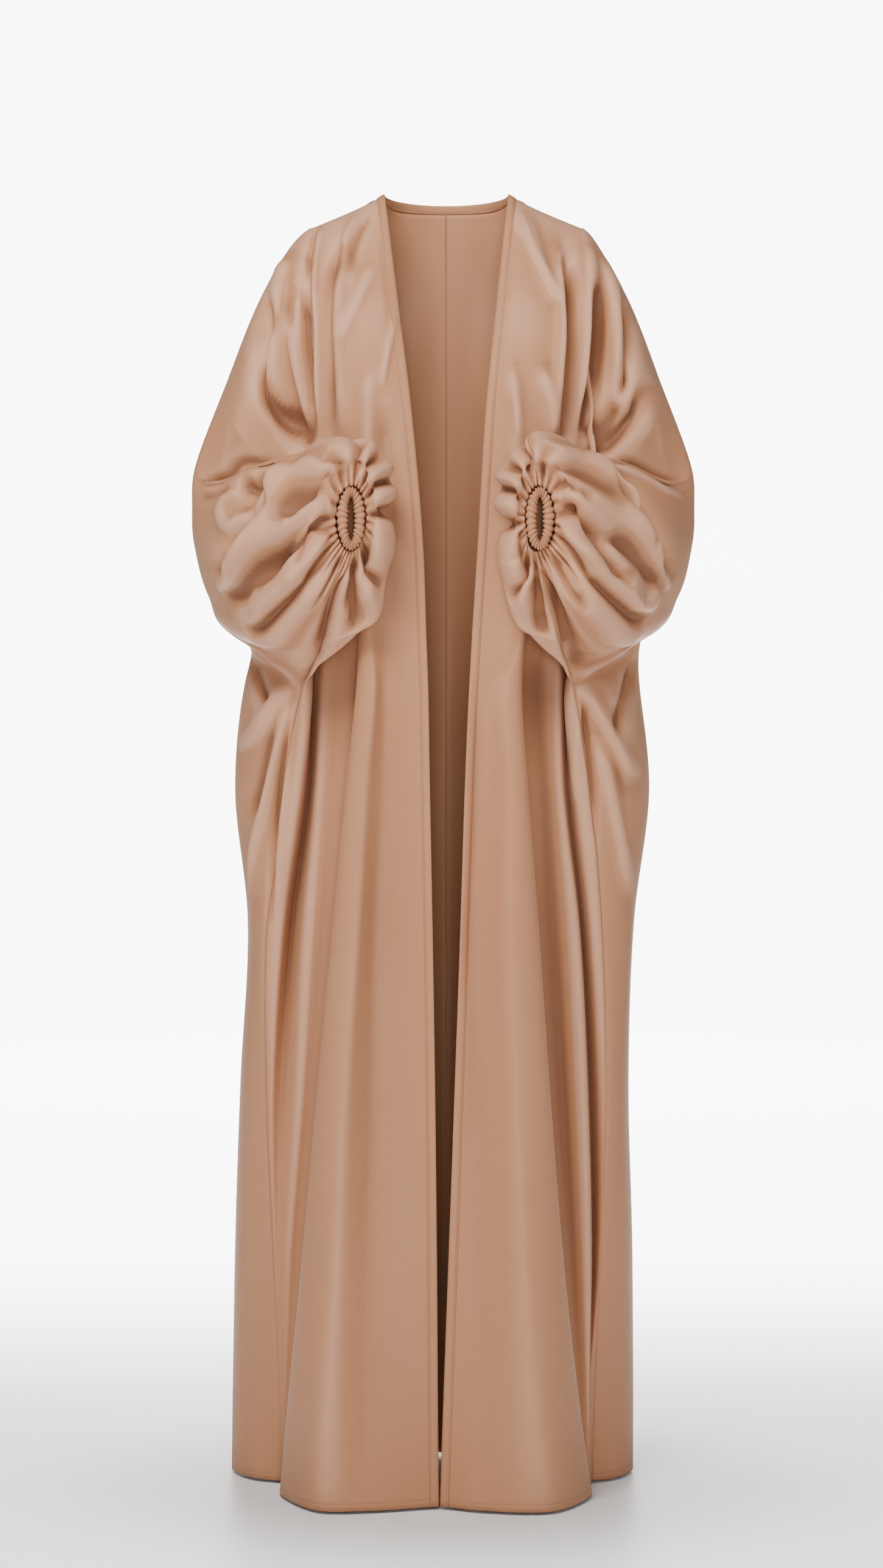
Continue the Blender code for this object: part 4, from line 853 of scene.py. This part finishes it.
def grid_on(mesh, sheet, columns, rows):
    """A grid laid on a sheet; returns its vertices, their places and the grid of points."""
    across, down = len(columns) - 1, len(rows) - 1
    made = bmesh.ops.create_grid(mesh, x_segments=across, y_segments=down, size=0.5)["verts"]
    j = np.array([round((vert.co.x + 0.5) * across) for vert in made])
    i = np.array([round((vert.co.y + 0.5) * down) for vert in made])
    points = sheet.at(columns[j], rows[i])
    for vert, point in zip(made, points):
        vert.co = Vector(point * MM)
    table = np.zeros((down + 1, across + 1, 3))
    table[i, j] = points
    return made, i, j, table


def run_lengths(table, axis):
    """Distance along the cloth from the first row or column, for each point of a grid."""
    step = np.linalg.norm(np.diff(table, axis=axis), axis=2)
    start = np.zeros_like(step.take([0], axis=axis))
    return np.concatenate((start, np.cumsum(step, axis=axis)), axis=axis)


upper_net = SHEETS[RIGHT]["front"]["body"].place[1:-1, 1:-1]
print("rows for", len(places(upper_net, ROW_SPACING, 0, 11)), "points from shoulder to hem")

# %% Directions shared along the seams
SEAM_LOOK = 0.2


def meeting_normals(sheets, face, region, u, v, outward):
    """Normals of a sheet, shared with every other sheet that meets it at the same place.

    `sheets` holds the body and sleeve sheets of one side, as sheets[face][region].
    """
    other_face = "back" if face == "front" else "front"
    other_region = "sleeve" if region == "body" else "body"

    def normals(where, which, u, v, sign):
        """Taken just inside the seams, where the cloth already has its own direction."""
        if which == "sleeve":
            v = np.clip(v, SEAM_LOOK, UNDERARM - SEAM_LOOK)
        else:
            inside = sheets[where][which].last - SEAM_LOOK
            u = np.where(v > UNDERARM - SAME, np.minimum(u, inside), u)
        return sheets[where][which].normal(u, v, outward * sign)

    total = normals(face, region, u, v, 1)
    start_end = 0.0 if region == "sleeve" else sheets[face]["body"].last
    at_armhole = (abs(u - start_end) < SAME) & (v < UNDERARM + SAME)
    ends = (v < SAME) | (v > UNDERARM - SAME)
    if region == "sleeve":
        on_seam = ends
    else:
        on_seam = (abs(u - start_end) < SAME) & ends
    for mask, where, which, sign in ((at_armhole, face, other_region, 1),
                                     (on_seam, other_face, region, -1),
                                     (at_armhole & ends, other_face, other_region, -1)):
        if which == "body":
            columns = np.full(mask.sum(), float(sheets[where][which].last))
        else:
            columns = u[mask] if region == "sleeve" else np.zeros(mask.sum())
        total[mask] += normals(where, which, columns, v[mask], sign)
    return total / np.linalg.norm(total, axis=1)[:, None]


print("seams share their directions with the next panel")

# %% Gathers and petals round the cuff: section along, degrees round the sleeve from its top
GATHERS = 28
GATHER_DEPTH = 4.5         # mm
GATHER_START = 9.35        # the sleeve section where the fine gathers begin
GATHER_RUN = 0.45
SECTION_SIZE = 30          # one section along the sleeve counts as this many degrees round it
SLID = 9                   # degrees
SLID_NARROWER, SLID_WIDER = 0.9, 1.1
# name, first, last section, width left and right in degrees, height, path of (section, degrees)
PETALS_RIGHT = (
    ("overarm crease", 6, 10, 5, 7, -14, [(7.4, -1), (8.3, 0), (9.2, 1), (9.9, 2)]),
    ("top petal", 6, 10, 12, 12, 7, [(7.2, -18), (8.2, -17), (9.3, -14)]),
    ("top left gap", 6, 10, 8, 8, -9, [(8.6, -26), (9.2, -22), (9.9, -20)]),
    ("second gap", 5, 10, 7, 9, -12, [(6.4, -80), (7.4, -68), (8.4, -52), (9.2, -40), (9.9, -33)]),
    ("second petal", 5, 10, 9, 9, 7, [(6.2, -64), (7.4, -50), (8.4, -37), (9.4, -28)]),
    ("third gap", 5, 10, 6, 9, -15, [(6, -103), (7.2, -96), (8.4, -84), (9.2, -74), (9.9, -68)]),
    ("third petal", 5, 10, 8, 8, 7, [(6.6, -94), (7.6, -82), (8.6, -68), (9.5, -56)]),
    ("fourth petal", 6, 10, 7, 8, 9, [(7.6, -112), (8.6, -102), (9.3, -92), (9.8, -86)]),
    ("fourth gap", 5, 10, 6, 8, -14, [(6.8, -128), (7.8, -122), (8.8, -112), (9.9, -100)]),
    ("fifth petal", 5, 10, 14, 14, 4, [(6.4, -150), (7.6, -144), (8.8, -136), (9.6, -130)]),
    ("small gap", 7, 10, 5, 5, -7, [(8.7, -146), (9.9, -142)]),
    ("seam gap", 4, 10, 5, 7, -12, [(3, 180), (5, 180), (7, 180), (8.6, 180), (9.9, 178)]),
    ("seam gap behind", 4, 10, 5, 7, -12, [(3, -180), (5, -180), (7, -180), (8.6, -180), (9.9, -182)]),
    ("low petal", 5, 10, 8, 8, 7, [(6.4, 172), (7.6, 170), (8.8, 168), (9.5, 168)]),
    ("low hollow", 5, 10, 8, 7, -14, [(7.2, 158), (8.2, 160), (9, 161), (9.9, 164)]),
    ("outer low petal", 5, 10, 9, 9, 7, [(7, 140), (8.2, 144), (9.4, 150)]),
    ("low crease", 6, 10, 5, 6, -11, [(8.2, 128), (9, 132), (9.9, 140)]),
    ("side petal", 6, 10, 14, 14, 6, [(7.6, 102), (8.8, 105), (9.5, 110)]),
    ("side notch", 6, 10, 5, 6, -16, [(7.4, 78), (8.4, 79), (9.2, 80), (9.9, 82)]),
    ("upper side petal", 6, 10, 9, 9, 7, [(7.6, 64), (8.8, 64), (9.5, 64)]),
    ("upper side gap", 6, 10, 5, 6, -11, [(8, 50), (9, 50), (9.9, 50)]),
    ("upper petal", 6, 10, 8, 8, 7, [(7.6, 37), (8.8, 36), (9.5, 36)]),
    ("upper gap", 6, 10, 5, 6, -11, [(8.2, 23), (9.2, 24), (9.9, 24)]),
)
# On the left cuff the same gathers have slid a little way round the elastic.
PETALS_LEFT = tuple((name, first, last, right * SLID_NARROWER, left * SLID_WIDER, height,
                     [(a, b + SLID) for a, b in path])
                    for name, first, last, left, right, height, path in PETALS_RIGHT)


def cuff_rise(side, turn, section):
    """Folds that radiate from the elastic: fine at the casing, broad petals further out."""
    degrees = np.where(turn > 0.5, turn - 1, turn) * 360
    start = (GATHER_START + 0.18 * np.sin(np.radians(degrees * 7))
             + 0.12 * np.sin(np.radians(degrees * 13)))
    steady = np.clip((section - start) / GATHER_RUN, 0, 1)
    wander = degrees * GATHERS + 50 * np.sin(np.radians(degrees * 3 + 40 * side))
    fine = -np.abs(np.cos(np.radians(wander / 2))) ** 3 * steady * GATHER_DEPTH
    petals = PETALS_RIGHT if side == RIGHT else PETALS_LEFT
    stretched = [(name, first, last, left, right, height, [(a * SECTION_SIZE, b) for a, b in path])
                 for name, first, last, left, right, height, path in petals]
    flat = np.stack((section * SECTION_SIZE, degrees), axis=1)
    rise = press(stretched, flat, np.ones(len(turn)), section)
    return np.where(section > 0, fine + rise, 0)


print("gathers round each cuff:", GATHERS, "petals and gaps:", len(PETALS_RIGHT))

# %% Folds, gathers and seams pressed into a panel, and its hollows and ridges marked for painted shade and highlights
HOLLOW_ROUNDS = 50
HOLLOW_DEPTH = 3.4         # mm
SEAM_DEPTH = 1.1           # mm
SEAM_WIDTH = 3.0           # mm


def relax(mesh, verts, rounds):
    for _ in range(rounds):
        bmesh.ops.smooth_vert(mesh, verts=verts, factor=0.5, use_axis_x=True, use_axis_y=True,
                              use_axis_z=True)


def mark_hollows(mesh, layers):
    """Store how deep each point lies in a fold: +1 for HOLLOW_DEPTH under its surroundings. The finish
    paints shade and highlights from it.
    """
    before = [vert.co.copy() for vert in mesh.verts]
    relax(mesh, [vert for vert in mesh.verts if not vert.is_boundary], HOLLOW_ROUNDS)
    mesh.normal_update()
    for vert, place in zip(mesh.verts, before):
        deep = (vert.co - place).dot(vert.normal) / (HOLLOW_DEPTH * MM)
        vert[layers["fold"]] = (max(-1, min(1, deep)), 0, 0)
        vert.co = place
    mesh.normal_update()


def fold_panel(mesh, layers, folds, side):
    """Press the strokes, the gathers and the seams into a panel."""
    points = np.array([vert.co for vert in mesh.verts]) / MM
    normals = np.array([vert[layers["out"]] if vert.is_boundary else vert.normal
                        for vert in mesh.verts])
    where = np.array([vert[layers["where"]] for vert in mesh.verts])
    edge = np.array([vert[layers["edge"]] for vert in mesh.verts]) / MM
    facing = facing_front(normals)
    rise = press(folds, points[:, (0, 2)], facing, where[:, 0])
    rise += cuff_rise(side, where[:, 1], where[:, 0])
    rise -= SEAM_DEPTH * np.exp(-(edge[:, 0] / SEAM_WIDTH) ** 2)
    points = points + normals * rise[:, None]
    for vert, point in zip(mesh.verts, points):
        vert.co = Vector(point * MM)
    mark_hollows(mesh, layers)


print("a seam draws the cloth in by", SEAM_DEPTH, "mm")

# %% One panel from its two sheets
LAYERS = ("out", "where", "cloth", "edge", "fold")
CROOK_SECTIONS = (3.2, 6.6)
CROOK_ROWS = (0.9, 3.4)
CROOK_ROUNDS = 260
ARMPIT = (-200, -38, -548)
ARMPIT_REACH = 50
ARMPIT_ROUNDS = 90
NO_EDGE = 999              # mm, where no seam or hem is near


def new_mesh():
    """An empty bmesh, and its layers of vectors at the vertices, by name."""
    mesh = bmesh.new()
    return mesh, {name: mesh.verts.layers.float_vector.new("point " + name) for name in LAYERS}


def ease(mesh, layers, face):
    """Round off the crook of the elbow and the armpit."""
    crook, armpit = [], []
    for vert in mesh.verts:
        section, turn, row = vert[layers["where"]]
        bent = CROOK_SECTIONS[0] < section < CROOK_SECTIONS[1] and CROOK_ROWS[0] < row < CROOK_ROWS[1]
        if face == "front" and bent:
            crook.append(vert)
        spot = Vector((-abs(vert.co.x), vert.co.y, vert.co.z)) / MM
        if (spot - Vector(ARMPIT)).length < ARMPIT_REACH and not vert.is_boundary:
            armpit.append(vert)
    relax(mesh, crook, CROOK_ROUNDS)
    relax(mesh, armpit, ARMPIT_ROUNDS)


def lay_panel(face, side, folds):
    """Bmesh of a panel. Its layers hold what the folds and the finish need at each vertex."""
    sheets = SHEETS[side]
    outward = -side if face == "front" else side
    body, sleeve = sheets[face]["body"], sheets[face]["sleeve"]
    first = 1 if face == "front" else 0
    columns = places(body.place[1:-1, 1:-1].transpose(1, 0, 2), SPACING, first, body.last)
    rows = places(body.place[1:-1, 1:-1], ROW_SPACING, 0, len(LEVELS) - 1)
    upper = rows[rows < UNDERARM + SAME]
    arm = places(sleeve.place[1:-1, 1:-1].transpose(1, 0, 2), SPACING, 0, sleeve.last)
    mesh, layers = new_mesh()
    regions = (("body", body, columns, rows), ("sleeve", sleeve, arm, upper))
    for region, sheet, cols, lines in regions:
        made, i, j, table = grid_on(mesh, sheet, cols, lines)
        across, down = run_lengths(table, 1), run_lengths(table, 0)
        to_hem = down[-1] - down
        if region == "body":
            armhole_run = across[:, -1]
            seam = np.where(lines[:, None] > UNDERARM - SAME, across[:, -1:] - across, NO_EDGE)
        else:
            across = across + armhole_run[:len(lines), None]
            seam, to_hem = to_hem, np.full_like(down, NO_EDGE)
        out = meeting_normals(sheets, face, region, cols[j], lines[i], outward)
        half = lines[i] / UNDERARM / 2
        turn = half if face == "front" else 1 - half
        section = cols[j] if region == "sleeve" else np.zeros(len(j))
        for k, vert in enumerate(made):
            at = (i[k], j[k])
            vert[layers["out"]] = Vector(out[k])
            vert[layers["where"]] = (section[k], turn[k], lines[i[k]])
            vert[layers["cloth"]] = (across[at] * MM, down[at] * MM, 0)
            vert[layers["edge"]] = (seam[at] * MM, to_hem[at] * MM, 0)
    bmesh.ops.remove_doubles(mesh, verts=mesh.verts, dist=MERGE * MM)
    ease(mesh, layers, face)
    bmesh.ops.recalc_face_normals(mesh, faces=mesh.faces)
    mesh.normal_update()
    if sum(vert.normal.dot(vert[layers["out"]]) for vert in mesh.verts) < 0:
        bmesh.ops.reverse_faces(mesh, faces=mesh.faces)
        mesh.normal_update()
    fold_panel(mesh, layers, folds, side)
    return mesh, layers


print("crook eased in", CROOK_ROUNDS, "rounds")

# %% From a bmesh to a piece with its maps and its wall
MAPS = ("cloth", "edge", "fold")


def make_piece(name, node, mesh, layers, wall, finish):
    """A piece that rides on the body and stands for one CAD node. A wall of 0 leaves it closed."""
    maps = {key: mesh.loops.layers.uv.new(key) for key in MAPS}
    for poly in mesh.faces:
        poly.smooth = True
        for loop in poly.loops:
            for key, layer in maps.items():
                loop[layer].uv = loop.vert[layers[key]][:2]
    data = bpy.data.meshes.new(name)
    mesh.to_mesh(data)
    mesh.free()
    for key in LAYERS:
        data.attributes.remove(data.attributes["point " + key])
    piece = bpy.data.objects.new(name, data)
    bpy.context.scene.collection.objects.link(piece)
    data.materials.append(finish.material)
    if wall:
        thick = piece.modifiers.new("wall", "SOLIDIFY")
        thick.thickness = wall * MM
        thick.offset = 0
    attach(piece, "root")
    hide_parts(node)
    return piece


def cloth_area(mesh):
    return sum(poly.calc_area() for poly in mesh.faces)


print("each piece carries the maps", ", ".join(MAPS))

# %% [markdown]
# ## Crepe
# The cloth is a matte crepe with a faint satin glow and a fine pebbled weave. Broad soft highlights
# on the folds come partly from the satin sheen and partly from a lighter colour painted onto the
# ridges, and shade is painted into the hollows as a darker, warmer colour. Two flat colours would
# look like plastic, so the colour drifts a little over the panel, the weave is raised by a fraction
# of a millimetre, and thread and seam follow the panel's own maps.

# %% The crepe finish
CREPE = (0.44, 0.207, 0.104, 1)
CREPE_WARM = (0.38, 0.168, 0.082, 1)
THREAD = (0.30, 0.150, 0.08, 1)
# Painted shade: the dark colour blended into the fold hollows.
PAINTED_HOLLOW_SHADE = (0.16, 0.060, 0.026, 1)
# Painted highlight: the light colour blended onto the fold ridges.
PAINTED_RIDGE_HIGHLIGHT = (0.70, 0.40, 0.27, 1)
STITCH_INSET = 0.008       # metres from the edge
STITCH_LENGTH = 0.0028     # metres


def crepe(name, stitched):
    """Crepe whose row of stitches runs along "across" or "down" of the cloth's own map."""
    finish = Finish(name, 0.5)
    across, down = finish.map("cloth")
    seam, hem = finish.map("edge")
    from_stitches = abs(hem - STITCH_INSET)
    drift = finish.noise(5.0, 3.0)
    mottle = finish.noise(90.0, 2.0)
    pebble = finish.noise(1500.0, 1.0)
    slub = finish.noise(160.0, 2.0, (1, 1, 0.06))
    hollow, _ = finish.map("fold")
    color = finish.blend(drift * 0.7 + mottle * 0.25, CREPE, CREPE_WARM)
    # Painted shade: the deeper a point lies in a fold, the more of the dark colour it gets.
    color = finish.blend((1 - hollow.fade(0.0, 1.0)) * 0.80, color, PAINTED_HOLLOW_SHADE)
    # Painted highlight: points that stand above their surroundings get the light colour.
    color = finish.blend(hollow.fade(-0.8, 0.0) * 0.40, color, PAINTED_RIDGE_HIGHLIGHT)
    along = (down if stitched == "down" else across) / STITCH_LENGTH
    dash = abs(along - along.math("FLOOR") - 0.5).fade(0.36, 0.44)
    row = from_stitches.fade(0.0002, 0.0006) * dash
    color = finish.blend(row * 0.8, color, THREAD)
    groove = from_stitches.fade(0.0003, 0.0022)
    color = finish.blend(seam.fade(0.0002, 0.0012) * 0.45, color, THREAD)
    finish.set("Base Color", color)
    finish.set("Roughness", 0.48 + slub * 0.12 + pebble * 0.06)
    finish.raise_by(pebble * 0.00006 + slub * 0.00005 + row * 0.0002 - groove * 0.0003)
    finish.set("Sheen Weight", 0.05)
    finish.set("Sheen Roughness", 0.45)
    finish.set("Sheen Tint", (1.0, 0.82, 0.72, 1))
    finish.set("Specular IOR Level", 0.22)
    return finish


body_crepe = crepe("crepe", "across")
band_crepe = crepe("crepe_band", "down")
print("finishes:", body_crepe.material.name, band_crepe.material.name)

# %% [markdown]
# ## The four panels
# Each panel replaces its CAD node and keeps its place. The flat sizes are those of the cut that a
# maker would lay out: the length from shoulder to hem and the width from the open edge or the
# centre seam out to the wrist.

# %% Panels
WALL = 1.0
for side, word, strokes in STROKES:
    for face in ("front", "back"):
        mesh, layers = lay_panel(face, side, strokes)
        area = cloth_area(mesh)
        node = face + "_" + word
        piece = make_piece("crepe_" + node, node, mesh, layers, WALL, body_crepe)
        carried_by = ["crepe_back_" + word] if face == "front" else []
        print(piece.name, len(piece.data.polygons), "faces", round(area, 3), "square metres")

# %% [markdown]
# ## Turned edges
# The open edge is folded under twice and topstitched, so it is thicker and a little stiffer than
# the cloth beside it. It is laid over the strip of the same sheet that lies between the open edge
# and the stitch line, with a thicker wall and a rounded edge. The back neck is finished with the
# same turned band.

# %% Front bands
BAND_WALL = 2.2
BAND_LIP = 0.35            # mm, how far the turned edge is rounded up


def lay_band(side, folds):
    sheet = SHEETS[side]["front"]["body"]
    rows = places(sheet.place[1:-1, 1:-1], ROW_SPACING, 0, len(LEVELS) - 1)
    columns = np.linspace(0, 1, 5)
    mesh, layers = new_mesh()
    made, i, j, table = grid_on(mesh, sheet, columns, rows)
    across, down = run_lengths(table, 1), run_lengths(table, 0)
    out = meeting_normals(SHEETS[side], "front", "body", columns[j], rows[i], -side)
    rise = press(folds, table[i, j][:, (0, 2)], facing_front(out), np.zeros(len(j)))
    for k, vert in enumerate(made):
        at = (i[k], j[k])
        lip = BAND_LIP * np.sin(np.pi * columns[j[k]])
        vert.co = vert.co + Vector(out[k] * (rise[k] + lip) * MM)
        vert[layers["out"]] = Vector(out[k])
        vert[layers["cloth"]] = (across[at] * MM, down[at] * MM, 0)
        vert[layers["edge"]] = (1.0, across[at] * MM, 0)
    bmesh.ops.recalc_face_normals(mesh, faces=mesh.faces)
    return mesh, layers


for side, word, strokes in STROKES:
    mesh, layers = lay_band(side, strokes)
    area = cloth_area(mesh)
    node = "front_band_" + word
    piece = make_piece("band_front_" + word, node, mesh, layers, BAND_WALL, band_crepe)
    "crepe_front_" + word
    print(piece.name, round(area, 4), "square metres")

# %% Neck band
NECK_STEPS = 40
NECK_RUN = 0.11            # metres, from the centre back to a neck point


def lay_neck_band():
    mesh, layers = new_mesh()
    made = bmesh.ops.create_grid(mesh, x_segments=2 * NECK_STEPS, y_segments=4, size=0.5)["verts"]
    for vert in made:
        part = 2 * vert.co.x
        depth = vert.co.y + 0.5
        side = RIGHT if part < 0 else LEFT
        turn = abs(part) * np.pi / 2
        edge = np.array((side * NECK_HALF * np.sin(turn), NECK_DEPTH * np.cos(turn),
                         NECK_DROP * np.cos(turn)))
        stitch = SHEETS[side]["back"]["body"].at([2 * abs(part)], [0])[0]
        run = stitch - edge
        facing = np.cross(run, (-np.cos(turn), side * np.sin(turn), 0))
        vert[layers["out"]] = Vector(facing)
        vert.co = Vector((edge + run * depth) * MM)
        from_edge = depth * np.linalg.norm(run) * MM
        vert[layers["cloth"]] = (from_edge, part * NECK_RUN, 0)
        vert[layers["edge"]] = (1.0, from_edge, 0)
    bmesh.ops.recalc_face_normals(mesh, faces=mesh.faces)
    return mesh, layers


mesh, layers = lay_neck_band()
area = cloth_area(mesh)
neck = make_piece("band_back_neck", "back_neck_band", mesh, layers, BAND_WALL, band_crepe)
print(neck.name, round(area, 4), "square metres")

# %% [markdown]
# ## Elastic cuffs
# Each sleeve ends in a casing with elastic inside, which draws the cloth into about 28 gathers
# round a narrow slit. A torus with noise would look like a rope, so the ring is a grid rolled up
# along the mouth's ellipse, which swells between the gathers and pinches at each of them.

# %% Gathered casings
CASING_RADIUS = 6.2
CASING_FORWARD = 2.0
CASING_CLEAR = 1.0
CASING_SAMPLES = 10
CASING_SIDES = 20


def lay_casing(side):
    mesh, layers = new_mesh()
    around, sides = GATHERS * CASING_SAMPLES, CASING_SIDES
    made = bmesh.ops.create_grid(mesh, x_segments=around, y_segments=sides, size=0.5)["verts"]
    middle = np.array(MOUTH_CENTRE) * (1 if side == RIGHT else -LEFT_SLEEVE_SPREAD, 1, 1)
    for vert in made:
        turn = 2 * np.pi * (vert.co.x + 0.5)
        angle = 2 * np.pi * (vert.co.y + 0.5)
        out = np.array((np.cos(turn), 0, np.sin(turn)))
        lean = 0.35 * np.sin(angle) + 0.25 * np.sin(3 * turn + side)
        pinch = abs(np.sin((turn * GATHERS + lean * 2) / 2)) ** 0.7
        uneven = 1 + 0.06 * np.sin(5 * turn + side) + 0.05 * np.sin(11 * turn + angle)
        radius = CASING_RADIUS * (0.66 + 0.38 * pinch) * uneven
        reach = np.array(MOUTH_HALF) - CASING_RADIUS - CASING_CLEAR
        core = middle + (reach[0] * out[0], -CASING_FORWARD, reach[1] * out[2])
        round_core = np.cos(angle) * out + np.sin(angle) * np.array((0, -1.15, 0))
        vert.co = Vector((core + radius * round_core) * MM)
        vert[layers["out"]] = Vector(round_core)
        vert[layers["cloth"]] = (turn * 0.027, angle * CASING_RADIUS * MM, 0)
        vert[layers["edge"]] = (1.0, 1.0, 0)
    bmesh.ops.remove_doubles(mesh, verts=mesh.verts, dist=MERGE * MM)
    bmesh.ops.recalc_face_normals(mesh, faces=mesh.faces)
    return mesh, layers


for side, word in ((RIGHT, "right"), (LEFT, "left")):
    mesh, layers = lay_casing(side)
    casing = make_piece("casing_" + word, "cuff_" + word, mesh, layers, 0, body_crepe)
    print(casing.name, len(casing.data.polygons), "faces")
